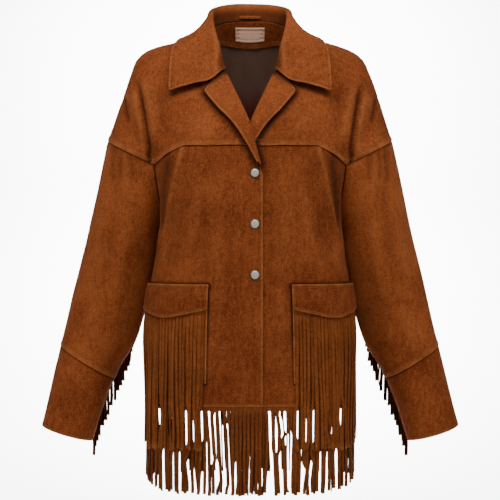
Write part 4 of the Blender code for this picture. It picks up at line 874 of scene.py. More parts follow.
def body_panel(length, width, step, first, start, top, back):
    """The right-hand half of the front or the back below its yoke, from a column's start to the side."""
    t, s = np.meshgrid(spaced(length, step), spaced(width, step, not back), indexing="ij")
    high = top(first + ((BACK_CORNER if back else CORNER) - first) * s)
    z = high + (HEM_Z - high) * t
    begin = start(z[:, 0])[:, None]
    points = torso(begin + (side_angle(np.minimum(z, YOKE_CORNER_Z), back) - begin) * s, z)
    return points, torso_normals(points)


def under_drop(x, z):
    """How far the under front lies below the outer one, which laps over it, and more where its lapel folds."""
    depth = UNDER_DROP + (LAPEL_DROP - UNDER_DROP) * ramp(z, *LAPEL_DROP_ZS)
    return depth * (1 - ramp(x, *UNDER_RAMP)) * ramp(-z, *UNDER_DROP_DEPTHS)


front_form = body_panel(0.445, 0.24, STEP, angle_of_x(YOKE_EDGE_END_X, YOKE_Z),
                        lambda z: np.vectorize(angle_of_x)(edge_x(z), z), yoke_z, False)
yoke_form = yoke_panel(front_yoke, spaced(0.215, STEP, False), spaced(0.19, STEP, False))
# The fronts' tone is set lower than the yokes': painted shade, as the top light reaches them less.
for hand, side in (LEFT_HAND, RIGHT_HAND):
    for part, (points, normals), pieces, tone, edges in (
        ("front", front_form, "body panel", 0.36, dict(top="under", left="free", right="plain", bottom="free")),
        ("front_yoke", yoke_form, "body", 0.5, dict(top="plain", bottom="lap", right="lap")),
    ):
        drop = under_drop(points[..., 0], points[..., 2])[..., None] * (side > 0)
        dressed(part, hand, mirrored(points - normals * drop, side), mirrored(normals, side), edges, tone,
                pieces=pieces, held=["right"], inside=SATIN)
print("fronts:", [entry[1].shape[:2] for entry in cloth.values()])

# %% [markdown]
# ## The back
#
# The back is one wide panel under one wide yoke. Its left half mirrors its right half in form, but
# its folds do not, because they are laid by place. The yoke is lapped over the panel.

# %% Back
def both_halves(half):
    """A left-hand and a right-hand half joined at the middle, which is the half's first column."""
    return np.concatenate([mirrored(half, -1)[:, :0:-1], half], axis=1)


back_form = body_panel(0.44, 0.27, BACK_STEP, math.pi, lambda z: np.full(len(z), math.pi), back_yoke_z, True)
back_yoke_form = yoke_panel(back_yoke, spaced(0.25, BACK_STEP), spaced(0.27, BACK_STEP, False))
back_yoke_form[1][:, 0] = unit(back_yoke_form[1][:, 0] * np.array([0, 1, 1]))
for part, form, edges in (
    ("back", back_form, dict(top="under", left="plain", right="plain", bottom="free")),
    ("back_yoke", back_yoke_form, dict(top="plain", bottom="lap", left="lap", right="lap")),
):
    dressed(part, "", *map(both_halves, form), edges, 0.5, pieces="body", held=["left", "right"], inside=SATIN)
    print(part, cloth[part, ""][1].shape[:2])

# %% [markdown]
# ## Sleeves and cuffs
#
# Each sleeve is a tube on the armhole's ring, sewn under the yoke's edge, with small dimples where
# its head is eased in. Its lower edge is lapped over a long straight cuff. The cuff's inner line is
# a seam too, a slightly raised ridge, paler from rubbing and from a painted highlight.

# %% Sleeves and cuffs
SLEEVE_COLUMNS, TUBE_STEP, ALLOWANCE = 128, 0.004, 0.003
# the cuff seam's ridge gets a painted highlight on top of its rubbed paleness
CUFF_SEAM_TURN, CUFF_SEAM_HEIGHT, CUFF_SEAM_PALE = 0.462, 0.0009, 0.8
for part, first, last, length, edges, tone, inside in (
    ("sleeve", 0.0, CUFF_START, 0.40, dict(top="under", bottom="lap"), 0.62, SATIN),
    ("cuff", CUFF_START, 1.0, 0.155, dict(top="under", bottom="free"), 0.44, None),
):
    turns = np.arange(SLEEVE_COLUMNS) / SLEEVE_COLUMNS
    share, turn = np.meshgrid(first + (last - first) * spaced(length, TUBE_STEP), turns, indexing="ij")
    around = sleeve(turn + 2e-3, share) - sleeve(turn - 2e-3, share)
    down = sleeve(turn, np.minimum(share + 2e-3, 1)) - sleeve(turn, np.maximum(share - 2e-3, 0))
    points = sleeve(turn, share)
    normals = facing_out(unit(np.cross(around, down)), points, points.mean(axis=(0, 1)))
    ridge = bump(turn, CUFF_SEAM_TURN, 0.006) * (part == "cuff")
    points = points + normals * (CUFF_SEAM_HEIGHT * ridge)[..., None]
    for hand, side in (LEFT_HAND, RIGHT_HAND):
        dressed(part, hand, mirrored(points, side), mirrored(normals, side), edges, tone, pieces="sleeve", held=["top"],
                pale=CUFF_SEAM_PALE * ridge, tuck=ALLOWANCE, ring=True, inside=inside)
    print(part, cloth[part, "left"][1].shape[:2])

# %% [markdown]
# ## Collar and lapels
#
# A notched collar has a stand inside the neck, a fold, and a leaf that falls over the shoulders. Its
# form is a table of sections from the middle of the back to the gorge, where it meets the lapel.
# Each lapel is the front's own edge, turned back along the roll line. Both are laid against the
# body: a search tree finds how deep the body is under a point.

# %% Collar and lapel measures
COLLAR = np.array([
    # at each station from the middle of the back to the gorge: fold, upper leaf, lower leaf, edge
    [(0.000, 0.076, 0.066), (0.000, 0.095, 0.049), (0.000, 0.107, 0.014), (0.000, 0.114, -0.022)],
    [(0.020, 0.074, 0.0655), (0.026, 0.092, 0.049), (0.029, 0.104, 0.014), (0.031, 0.112, -0.022)],
    [(0.042, 0.064, 0.062), (0.054, 0.078, 0.047), (0.062, 0.092, 0.013), (0.068, 0.100, -0.022)],
    [(0.060, 0.040, 0.054), (0.074, 0.048, 0.041), (0.092, 0.060, 0.013), (0.108, 0.070, -0.012)],
    [(0.0675, 0.005, 0.043), (0.0775, 0.006, 0.0305), (0.0925, 0.008, 0.0085), (0.124, 0.008, -0.0080)],
    [(0.0655, -0.025, 0.022), (0.079, -0.031, 0.016), (0.101, -0.036, -0.004), (0.134, -0.038, -0.024)],
    [(0.0590, -0.045, -0.008), (0.078, -0.056, -0.012), (0.108, -0.062, -0.026), (0.1385, -0.064, -0.045)],
    [(0.0520, -0.060, -0.033), (0.072, -0.072, -0.044), (0.106, -0.078, -0.058), (0.1410, -0.078, -0.077)],
    [(0.0420, -0.0800, -0.075), (0.0663, -0.087, -0.0912), (0.1007, -0.092, -0.1005), (0.1420, -0.088, -0.1138)],
])
STATIONS = np.arange(9)
FOLD_RADIUS, FOLD_TURNS = 0.0026, (0, 0.33, 0.67, 1)
STAND_INSET = 0.0034  # the collar's stand is sewn inside the neck edge
STAND_END_STATIONS, STAND_END = (6.5, 8), np.array([0.0032, 0.0035, 0.0036])  # its front end clears the lapel
LEAF_LIFT, LEAF_SPRING, SPRING_STATIONS = 0.0036, 0.0080, (5.6, 8.0)  # its front edges stand off more
COLLAR_STEP, NEAR = 0.0028, 0.02
# Lapel in the front view: its fold and its outer edge, top to bottom, as x and z.
LAPEL_FOLD = np.array([(0.0420, -0.0785), (0.0195, -0.126), (-0.0017, -0.1755), (-0.0108, -0.211), (-0.0192, -0.243)])
LAPEL_EDGE = np.array([(0.0800, -0.1130), (0.0560, -0.1430), (0.0320, -0.1680), (0.0060, -0.2070), (-0.0112, -0.239)])
LAPEL_NOTCH, LAPEL_BACK_SHARE = (0.0650, -0.0945), 0.18
LAPEL_LIFT, LAPEL_SPRING, LAPEL_ROLL = 0.0040, 0.0040, 0.0026  # it swells between its fold and its edge
LAPEL_FOLD_SECTION = ((0.0006, 0.0012), (0.0, -0.0008), (0.0014, -0.0026))  # x and y from the fold
FOLD_BACK, EDGE_SEARCH = 0.005, 0.012
PRESSED, UNDER_PRESS = (0.40, 0.70), 0.0012  # the under lapel's lower end is pressed flat by the outer front
print("collar sections:", len(COLLAR))

# %% The collar
def tree_of(grids):
    """A search tree over the facets of some grids."""
    points, faces, base = [], [], 0
    for grid in grids:
        rows, columns = grid.shape[:2]
        points += grid.reshape(-1, 3).tolist()
        a = base + np.arange(rows * columns).reshape(rows, columns)[:-1, :-1].ravel()
        faces += np.stack([a, a + 1, a + columns + 1, a + columns], axis=-1).tolist()
        base += rows * columns
    return BVHTree.FromPolygons(points, faces)


def collar_sheet(stations):
    """The collar's face: up the stand inside the neck, over the fold and down the leaf."""
    fold, upper, lower, edge = np.moveaxis(smooth(STATIONS, COLLAR, stations), 1, 0)
    neck = smooth(STATIONS, np.vstack([BACK_NECK, YOKE_EDGE[1:5]]), stations)
    neck = neck + unit(-neck * np.array([1, 1, 0])) * STAND_INSET
    neck = neck + ramp(stations, *STAND_END_STATIONS)[:, None] * STAND_END
    rise, leaf = fold - neck, upper - fold
    tangent = smooth(STATIONS, COLLAR[:, 0], stations + 0.02) - smooth(STATIONS, COLLAR[:, 0], stations - 0.02)
    inward, over = unit(np.cross(tangent, rise)), unit(np.cross(tangent, leaf))
    inward = np.where(np.sum(inward * leaf, axis=-1, keepdims=True) > 0, -inward, inward)
    over = np.where(np.sum(over * rise, axis=-1, keepdims=True) < 0, -over, over)
    crown = unit(inward + over)
    centre = fold - crown * FOLD_RADIUS
    turns = [inward * (1 - share) + crown * 2 * share * (1 - share) + over * share for share in FOLD_TURNS]
    fold_rows = [centre + unit(turn) * FOLD_RADIUS for turn in turns]
    return np.array([neck, (neck + centre + inward * FOLD_RADIUS) / 2, *fold_rows, upper, lower, edge])


def lifted(points, tree, clearance):
    """The points, moved out where they lie nearer than the clearance to the body."""
    flat = points.reshape(-1, 3).copy()
    for i, (point, least) in enumerate(zip(flat.copy(), np.broadcast_to(clearance, points.shape[:2]).ravel())):
        place, normal, _, distance = tree.find_nearest(tuple(point))
        away = np.array(normal)
        away = away if away @ (point - BODY_POINT) >= 0 else -away
        signed = float((point - np.array(place)) @ away)
        if signed < least and distance < NEAR:
            flat[i] = point + away * (least - signed)
    return flat.reshape(points.shape)


worn_body = tree_of([cloth[part, hand][1] for part in ("front", "front_yoke") for hand in ("left", "right")]
                    + [cloth["back_yoke", ""][1]])
stations = np.concatenate([np.linspace(0, 3.6, 40)[:-1], 3.6 + 4.4 * spaced(0.20, 0.0032, first=False)])
sheet = collar_sheet(stations)
knots = np.insert(np.cumsum(np.linalg.norm(np.diff(sheet, axis=0), axis=-1).mean(axis=1)), 0, 0)
places = spaced(knots[-1], COLLAR_STEP) * knots[-1]
half, fold_row = smooth(knots, sheet, places), int(np.searchsorted(places, knots[6]))
leaf_share = np.linspace(0, 1, len(half) - fold_row)[:, None]
spring = LEAF_SPRING * np.sin(math.pi * 0.62 * leaf_share + 0.2) * ramp(stations, *SPRING_STATIONS)
half[fold_row:] = lifted(half[fold_row:], worn_body, LEAF_LIFT + spring)
for _ in range(6):  # eased below the fold, so that it rolls instead of breaking
    mean = (half[:-2, 1:-1] + half[2:, 1:-1] + half[1:-1, :-2] + half[1:-1, 2:]) / 4
    half[1 + fold_row : -1, 1:-1] += 0.5 * (mean - half[1:-1, 1:-1])[fold_row:]
collar = rounded(both_halves(half), 0.0065, [("bottom", "left"), ("bottom", "right")])
normals = unit(np.cross(np.gradient(collar, axis=1), np.gradient(collar, axis=0)))
normals = normals if normals[-1, collar.shape[1] // 2, 1] > 0 else -normals
up_stand = reaches(collar)["top"]
# the stand inside the neck gets painted shade up to the fold
dressed("collar", "", collar, normals, dict(top="plain", bottom="free", left="free", right="free"), 0.58,
        height=0.4 * rumple(collar), pale=0.30 * bump(up_stand, knots[4], 0.006),  # paler along the fold
        shade=0.70 * (1 - ramp(up_stand, knots[4] - 0.016, knots[4])))
collar = cloth["collar", ""][1]
print("collar:", collar.shape[:2], "fold at row", fold_row)

# %% The lapels
def depth_at(tree, x, z, start=-1.0):
    """y of the body met on the way back from y = start, or of what lies a little to the side past an edge."""
    for aside in np.linspace(0, EDGE_SEARCH, 25):
        for dx, dz in ((aside, 0), (-aside, 0), (0, aside), (0, -aside)):
            hit = tree.ray_cast((x + dx, start, z + dz), (0, 1, 0))
            if hit[0] is not None:
                return hit[0].y
    return None


def lapel_outline(t, u):
    """x and z on the right-hand lapel: t down its length, u from the fold to the outer edge."""
    fold, edge = along(LAPEL_FOLD, t), along(LAPEL_EDGE, t)
    top = np.array([np.interp(u, (0, 0.55, 1), values) for values in zip(LAPEL_FOLD[0], LAPEL_NOTCH, LAPEL_EDGE[0])])
    straight = LAPEL_FOLD[0] + (LAPEL_EDGE[0] - LAPEL_FOLD[0]) * u
    return fold + (edge - fold) * u + (top - straight) * (1 - t) ** 2


for hand, side in (LEFT_HAND, RIGHT_HAND):
    tree = tree_of([cloth["front", hand][1], cloth["front_yoke", hand][1]])
    rows = []
    for t in spaced(0.175, 0.0026):
        x, z = lapel_outline(t, 0.0)
        y = depth_at(tree, side * (x + FOLD_BACK), z)
        row = along([(side * (x + dx), y + dy, z) for dx, dy in LAPEL_FOLD_SECTION], np.linspace(0, 1, 7)).tolist()
        free = 1 - float(ramp(t, *PRESSED)) * (side > 0)
        for u in LAPEL_BACK_SHARE + (1 - LAPEL_BACK_SHARE) * spaced(0.045, 0.0024, first=False):
            x, z = lapel_outline(t, u)
            swell = LAPEL_SPRING * u * u + LAPEL_ROLL * math.sin(math.pi * u)
            y = depth_at(tree, side * x, z) - LAPEL_LIFT + UNDER_PRESS * (1 - free) - swell * free
            row.append((side * x, y, z))
        rows.append(row)
    grid = np.array(rows)
    for _ in range(8):
        grid[1:-1, 1:, 1] += 0.35 * ((grid[2:, 1:, 1] + grid[:-2, 1:, 1]) / 2 - grid[1:-1, 1:, 1])
    grid = rounded(grid, 0.0050, [("top", "right")])
    normals = unit(np.cross(np.gradient(grid, axis=1), np.gradient(grid, axis=0)))
    normals = facing_out(normals, grid, grid.mean(axis=(0, 1)) + np.array([side * 0.02, 0.05, 0]))
    dressed("lapel", hand, grid, normals, dict(top="free", right="free"), 0.62)
print("lapels:", cloth["lapel", "left"][1].shape[:2])

# %% [markdown]
# ## Inside the neck
#
# What shows behind the open collar: a suede facing that the label is sewn to, the satin lining
# below it, and a narrow hanger loop on the collar's stand. The first three are made from the back
# yoke's own form, moved in.

# %% Facing, lining, label and loop
LOOP_Z, LOOP_HEIGHT, LOOP_REACH, LOOP_BULGE, LOOP_WALL, LOOP_GAP = 0.0385, 0.005, 0.0195, 0.003, 0.001, 0.0005
ALL_FREE = dict(top="free", bottom="free", left="free", right="free")
for part, what, rows, reach, gap, wall, edges, tone, sag, finish, slot in (
    # the rows and the reach are shares of the yoke, and the gap is from its inner face
    ("neck_facing", "suede", (0.003, 0.2), 0.36, 0.0024, 0.0012, dict(bottom="lap"), 0.35, 0, SUEDE, "suede"),
    ("back_lining", "satin", (0.196, 0.94), 0.55, 0.0024, 0.0006, {}, 0.5, 0.0006, SATIN, "satin"),
    ("neck_label", "nubuck", (0.045, 0.155), 0.077, 0.0042, 0.0008, ALL_FREE, 0.5, 0, LABEL, "label"),
):
    share = rows[1] - rows[0]
    t, s = np.meshgrid(rows[0] + share * spaced(0.25 * share, 0.003),
                       reach * spaced(0.27 * reach, 0.003, first=False), indexing="ij")
    normals = surface_normals(back_yoke, s, t)
    normals[:, 0] = unit(normals[:, 0] * np.array([0, 1, 1]))
    points, normals = both_halves(back_yoke(s, t) - normals * (gap + wall)), -both_halves(normals)
    slack = sag * np.sin(points[..., 0] * 160 + 9 * points[..., 2]) * np.sin(points[..., 2] * 60)
    dressed(part, "", points, normals, edges, tone, height=wall + slack, finish=finish, what=what, wall=wall, slot=slot)
stand = tree_of([collar])
loop_x = np.linspace(-LOOP_REACH, LOOP_REACH, 41)
strap = []
for share in (1, 0.92, 0.5, 0, -0.5, -0.92, -1):
    z, swell = LOOP_Z + LOOP_HEIGHT / 2 * share, 0.0006 * (1 - share**2)
    gaps = LOOP_GAP + LOOP_BULGE * (1 - (loop_x / LOOP_REACH) ** 4) + swell
    strap.append([(x, depth_at(stand, x, z, start=0.0) - gap, z) for x, gap in zip(loop_x, gaps)])
strap = np.array(strap)
towards = np.broadcast_to(np.array([0.0, -1.0, 0.0]), strap.shape)
# the loop's two edges are paler, rubbed and with a painted highlight, and the whole loop gets painted shade
worn = 0.7 * sum(bump(strap[..., 2], LOOP_Z + LOOP_HEIGHT / 2 * k, 0.0008) for k in (1, -1))
loop = shell("hanger_loop_suede", strap + towards * LOOP_WALL, towards, SUEDE, wall=LOOP_WALL, pale=np.clip(worn, 0, 1),
             shade=0.3, tone=0.6)
print("inside the neck:", [cloth[part, ""][1].shape[:2] for part in ("neck_facing", "back_lining", "neck_label")])

# %% [markdown]
# ## Pockets
#
# Each front has a patch pocket, hidden under a curtain of fringe, and a flap with a blunt point over
# both. They are laid on the front's own folds: the same form, with the same fold heights, moved out
# by what lies under them.

# %% Patch pockets and flaps
LAID_GAP, FRINGE_GAP, FRINGE_WALL, FRINGE_FLARE = 0.0006, 0.0004, 0.0012, 0.0006
POCKET_INSET, STRIP_INSET = 0.001, 0.0015  # the patch and the fringe strip are narrower than the flap
STRIP_START_INSET = 0.0036  # on the side of the front edge the patch shows beside the strip
ref_angles = np.linspace(0, math.pi, 721)
ref_arcs = reached(torso(ref_angles, np.full(721, POCKET_REF_Z)))


def laid(arcs, zs, out, side):
    """Points and normals on the front's cloth at distances round from its middle, moved out."""
    arcs, zs, out = np.broadcast_arrays(arcs, zs, out)
    points = torso(np.interp(arcs, ref_arcs, ref_angles), zs)
    normals = mirrored(torso_normals(points), side)
    return raised(mirrored(points, side), normals, out), normals


for hand, side in (LEFT_HAND, RIGHT_HAND):
    arc, t = np.meshgrid(FLAP_START + POCKET_INSET + (FLAP_WIDTH - 2 * POCKET_INSET) * spaced(FLAP_WIDTH, 0.0045),
                         spaced(PATCH_TOP_Z - PATCH_BOTTOM_Z, 0.0045))
    z = PATCH_TOP_Z + (PATCH_BOTTOM_Z - PATCH_TOP_Z) * t
    from_start, from_end = arc - FLAP_START, FLAP_START + FLAP_WIDTH - STRIP_INSET - arc
    # painted shade on the patch under the fringe, fading at the edges that show beside it
    under_fringe = ramp(from_end, -0.004, 0.001) * ramp(from_start, 0.0022, 0.0036)
    dressed("pocket", hand, *laid(arc, z, LAID_GAP + WALL, side), ALL_FREE, 0.5, shade=0.7 * under_fringe)
    arc, t = np.meshgrid(FLAP_START + FLAP_WIDTH * spaced(FLAP_WIDTH, 0.0032), spaced(0.05, 0.0032))
    point = 1 - np.abs((arc - FLAP_START) / FLAP_WIDTH * 2 - 1)
    blunt = point - 0.10 * bump(point, 1.0, 0.12)
    z = POCKET_TOP_Z - t * (FLAP_SIDE_DROP + (FLAP_POINT_DROP - FLAP_SIDE_DROP) * blunt)
    out = LAID_GAP + 2 * WALL + FRINGE_GAP * 2 + FRINGE_WALL
    swell = 0.0012 * np.sin(math.pi * np.clip(t, 0, 1)) ** 2 + 0.0016 * t * t
    grid, normals = laid(arc, z, out + swell, side)
    # the flap's low tone is painted shade
    dressed("flap", hand, rounded(grid, 0.0035, [("bottom", "left"), ("bottom", "right")]), normals, ALL_FREE, 0.26)
print("flaps:", cloth["flap", "left"][1].shape[:2], "patches:", cloth["pocket", "left"][1].shape[:2])

# %% [markdown]
# ## Fringe
#
# Fringe is a strip of suede slit into strands about 7 mm wide that stay joined at the top. Cut edges
# curl back a little, so each strand is a shallow channel that catches light in its middle. Strands
# hang straight, lean with their neighbours, twist, and bunch so that slits open between them. A hair
# system would give round fibres and a simulation would tangle them, so each strand is drawn: a row
# of sections down its length, each turned by its own twist.
#
# The slits that show the ground behind run through the front and the back fringe alike. They are
# listed as partings: where each starts and ends, as seen from straight ahead, and how wide
# it opens. A strand in a parting's place is pushed aside, and made narrower where it has no room.

# %% Partings
NEAR_PLANE = -0.145  # the front fringe's depth, where the partings are measured
PARTINGS = [
    # in millimetres: x and z at its top, x and z at its foot, and its width, on the left-hand half
    (-153.8, -655, -152.1, -682, 2.8), (-138.5, -681, -137.8, -697, 2.6), (-133.5, -678, -133, -697, 2.6),
    (-108.5, -664, -107.5, -719, 3.4), (-96.2, -682, -95.5, -713, 2.2), (-82.2, -665, -81.2, -708, 3.4),
    (-147.5, -737, -146.2, -800, 3.6), (-130.3, -745, -129.8, -801, 1.6), (-119.2, -738, -119, -799, 2.4),
    (-107, -753, -102, -790, 2.6), (-95, -768, -91.5, -803, 2), (-73.5, -722, -72.2, -804, 2.2),
    (-70, -665, -64, -748, 3.8), (-60, -676, -54, -784, 6), (-52, -665, -48.5, -764, 3.6),
    (-45.5, -700, -42, -789, 5.4), (-38.8, -690, -33, -804, 3.6), (-24.5, -755, -23.5, -784, 2.2),
    # and on the right-hand half
    (20.5, -765, 21, -786, 2), (33, -664, 39.5, -806, 5.4), (44.5, -672, 44, -728, 3.6), (50.5, -668, 55.5, -700, 5),
    (59, -668, 61, -710, 5.2), (50, -742, 53.5, -803, 4), (64, -710, 65, -792, 3.4), (70.8, -706, 68, -796, 2.6),
    (81.2, -665, 80.2, -709, 3.6), (96, -682, 95.2, -712, 2.2), (108, -664, 107.2, -712, 3.2),
    (132.5, -678, 132, -697, 2.8), (137.5, -681, 137.8, -697, 2.6), (154.8, -655, 153.2, -681, 2.8),
    (93, -764, 88, -800, 2.2), (104.5, -752, 101, -786, 2.6), (119.5, -738, 119, -799, 3.2),
    (130, -745, 129.2, -800, 1.6), (146, -737, 147.5, -798, 3.6),
]
PARTING_SHARE = 0.8  # the strands' curled edges widen a slit by the rest
PARTING_OPENS = 0.014  # a parting opens and closes over this much of its length
PUSH_MOST, LEAST_ROOM, OVERLAP = 0.008, 0.4, 0.9


def parted(centres, widths, partings):
    """How far each strand's section moves aside for the partings, and how much of its width is left."""
    nearer = (CAMERA_DISTANCE + NEAR_PLANE) / (CAMERA_DISTANCE + centres[..., 1])
    x, z = centres[..., 0] * nearer, CAMERA_HEIGHT + (centres[..., 2] - CAMERA_HEIGHT) * nearer
    home, widths = x[:, x.shape[1] // 2, None], widths[:, None]
    push_right, push_left = np.zeros_like(x), np.zeros_like(x)
    low, high = np.full_like(x, -9.0), np.full_like(x, 9.0)
    for top_x, top_z, foot_x, foot_z, width in np.array(partings) / 1000:
        line = np.interp(-z, (-top_z, -foot_z), (top_x, foot_x))
        opened = ramp(-z, -top_z - PARTING_OPENS, -top_z) * (1 - ramp(-z, -foot_z, -foot_z + PARTING_OPENS))
        right = home >= (top_x + foot_x) / 2
        need = (PARTING_SHARE * width + widths * OVERLAP) / 2
        wanted = np.clip(need - np.abs(x - line) * np.where(right == (x >= line), 1, -1), 0, None) * opened
        push_right = np.maximum(push_right, np.where(right, wanted, 0))
        push_left = np.maximum(push_left, np.where(right, 0, wanted))
        low = np.where(right & (opened > 0.05), np.maximum(low, line + PARTING_SHARE * width / 2), low)
        high = np.where(~right & (opened > 0.05), np.minimum(high, line - PARTING_SHARE * width / 2), high)
    both = (push_right > 0) & (push_left > 0)
    shift = np.where(both, np.clip((low + high) / 2 - x, -PUSH_MOST, PUSH_MOST), push_right - push_left)
    return shift / nearer, np.where(both, np.clip((high - low) / widths, LEAST_ROOM, 1), 1.0)


print(len(PARTINGS), "partings")

# %% Strands
STRAND_ROWS = 18
CURL = 0.0006  # how far a strand's middle stands out from its cut edges
STRAND_SECTION = np.array([
    # points round a strand: share of its half width, of its wall and of its curl
    (-1, 0.5, 0), (-0.55, 0.5, 0.75), (0, 0.5, 1), (0.55, 0.5, 0.75), (1, 0.5, 0),
    (1, -0.5, 0), (0, -0.5, 1), (-1, -0.5, 0),
])
STRONG_TWIST = 2.6  # every seventh strand twists this much more


def steady(count, salt):
    """One even-spread number from -1 to 1 for each strand, the same in every run."""
    return 2 * np.mod(np.arange(count) * 0.61803399 + salt * 0.7548777, 1.0) - 1


def swaying(count, salt):
    """One number from -1 to 1 for each strand, nearly alike for neighbours."""
    index = np.arange(count)
    return 0.62 * np.sin(index * 0.41 + salt) + 0.28 * np.sin(index * 0.93 + 2.1 * salt)


def tube_faces(tubes, rows, sides):
    """Faces of closed tubes whose points run round each section, and section by section down each tube."""
    index = np.arange(tubes * rows * sides).reshape(tubes, rows, sides)
    turned = np.roll(index, -1, axis=2)
    quads = np.stack([index[:, :-1], turned[:, :-1], turned[:, 1:], index[:, 1:]], axis=-1)
    return quads.reshape(-1, 4).tolist() + index[:, 0, ::-1].tolist() + index[:, -1].tolist()


def strands(name, roots, across, out, tips, widths, salt, path=None, lean=0.0034, twist=0.42, partings=(),
            layers=0.0009, dark=0.0):
    """Strands below their roots. roots, across and out have one row each, tips are heights.

    path(z) gives points for strands that follow the body, and otherwise they hang straight.
    """
    count, index = len(roots), np.arange(len(roots))
    own = [steady(count, salt + k)[:, None] for k in range(9)]  # each strand's own differences
    v = np.linspace(0, 1, STRAND_ROWS)[None]
    across, out = across[:, None], out[:, None]
    z = roots[:, 2:3] + (tips[:, None] - roots[:, 2:3]) * v
    centres = path(z) if path else np.stack([roots[:, :1] + 0 * z, roots[:, 1:2] + 0 * z, z], axis=-1)
    wave = 0.0009 * np.sin(2 * math.pi * (v * (1.1 + 0.5 * own[1]) + own[2])) * v
    aside = lean * (swaying(count, salt)[:, None] + 0.5 * own[3]) * v**2 + wave
    layer = layers * (index % 3 - 1)[:, None] * ramp(v, 0.05, 0.4) + 0.0016 * own[4] * v**2
    centres = centres + across * aside[..., None] + out * layer[..., None]
    room = 1
    if partings:
        shift, room = parted(centres, widths, partings)
        centres[..., 0] += shift
        centres = centres + out * (0.25 * np.abs(shift) * (1 - 2 * (index % 2))[:, None])[..., None]
    angle = twist * np.where(index % 7 == 3, STRONG_TWIST, 1.0)[:, None] * own[5] * ramp(v, 0.08, 1.0)
    half_width = 0.5 * widths[:, None] * room * (1 - 0.06 * v)
    turn, lift = np.cos(angle)[..., None], np.sin(angle)[..., None]
    flat, face = across * turn + out * lift, out * turn - across * lift
    rings = np.stack([centres + flat * (half_width * k)[..., None] + face * (FRINGE_WALL * d + CURL * c)
                      for k, d, c in STRAND_SECTION], axis=2)
    first_edge, last_edge = STRAND_SECTION[:, 0] == -1, STRAND_SECTION[:, 0] == 1
    middle = ~(first_edge | last_edge)
    # painted highlight down each strand's middle, and paler tips
    pale = np.maximum(0.20 * middle * (0.6 + 0.4 * own[8])[..., None], 0.6 * bump(v, 1.0, 0.022)[..., None])
    fickle = steady(count + 1, salt + 8)[:, None] + 0.5 * np.cos(3.0 * v + 5 * steady(count + 1, salt + 9)[:, None])
    slit = 0.12 + 0.80 * np.clip(fickle, 0, 1)[..., None]  # painted shade along the slits: faint in most, deep in a few
    # painted shade on each strand's back face
    shade = slit[:-1] * first_edge + slit[1:] * last_edge + 0.35 * ((STRAND_SECTION[:, 1] < 0) & middle)
    shade = shade * (1 - 0.8 * bump(v, 1.0, 0.02)[..., None]) * ramp(v, 0.02, 0.25)[..., None]
    # dark adds painted shade to strands that hang in shadow
    shade = np.clip(shade + dark + 0.14 * own[6][..., None], 0, 1)
    values = np.broadcast_arrays(pale, shade, (0.50 + 0.28 * own[6])[..., None], 1.0)
    faces = tube_faces(count, STRAND_ROWS, len(STRAND_SECTION))
    return made(name, rings.reshape(-1, 3), faces, [FRINGE_SUEDE], np.stack(values, axis=-1))


trims = {key: [] for key in cloth}  # the fringe and the threads that go with each cloth
print("each strand has", STRAND_ROWS, "sections")

# %% Hem fringe
HEM_PITCH, HEM_STRIP, HEM_SEAM = 0.0068, 0.006, 0.0003
HEM_TIP_RISE, HEM_TIP_POWER = 0.018, 14


def on_torso(angle, z, out, under):
    """Points of the torso's cloth, moved out and below an outer front, and its normals there."""
    points = torso(angle, z)
    normals = torso_normals(points)
    return raised(points, normals, out - under_drop(points[..., 0], HEM_Z) * under), normals


side_at_hem, edge_at_hem = math.radians(SIDE_SEAM_ANGLES[1]), float(angle_of_x(-LAP, HEM_Z))
# the last number is painted shade added to the strands, more on the back
for part, hand, first, last, salt, dark in (
    ("front", "left", -side_at_hem, -edge_at_hem, 1, 0.24),
    ("front", "right", edge_at_hem, side_at_hem, 2, 0.24),
    ("back", "", side_at_hem, 2 * math.pi - side_at_hem, 5, 0.3),
):
    under, name = hand == "right", called("hem_fringe_suede", hand or "back")
    angles = np.linspace(first, last, 400)
    lengths = reached(torso(angles, np.full(400, HEM_Z)))
    count = round(lengths[-1] / HEM_PITCH)
    middles = np.interp((np.arange(count) + 0.5) / count * lengths[-1], lengths, angles)
    roots, out = on_torso(middles, np.full(count, HEM_Z - HEM_STRIP), -FRINGE_WALL / 2, under)
    out = unit(out * np.array([1, 1, 0]))
    across = np.stack([-out[:, 1], out[:, 0], np.zeros(count)], axis=-1)
    across = across * np.sign(np.sum(across * np.gradient(roots, axis=0), axis=-1))[:, None]
    aside = np.abs(np.sin(middles))
    tips = HEM_FRINGE_TIP_Z + HEM_TIP_RISE * aside**HEM_TIP_POWER + 0.0035 * steady(count, salt)
    widths = HEM_PITCH * (0.93 + 0.06 * steady(count, salt + 9) + 0.12 * aside**6)
    hung = strands(name, roots, across, out, tips, widths, salt, partings=PARTINGS, dark=dark)
    rows = HEM_Z - HEM_SEAM - (HEM_STRIP + 0.001) * np.linspace(0, 1, 5)
    angle, height = np.meshgrid(np.linspace(first, last, count * 2 + 1), rows)
    # painted shade on the strip just under the hem's edge
    strip = shell(f"{name}_strip", *on_torso(angle, height, 0.0, under), FRINGE_SUEDE, wall=FRINGE_WALL,
                  shade=0.4 * bump(height, HEM_Z, 0.002), tone=0.5)
    trims[part, hand] += [hung, strip]
    print(f"{name}: {count} strands")

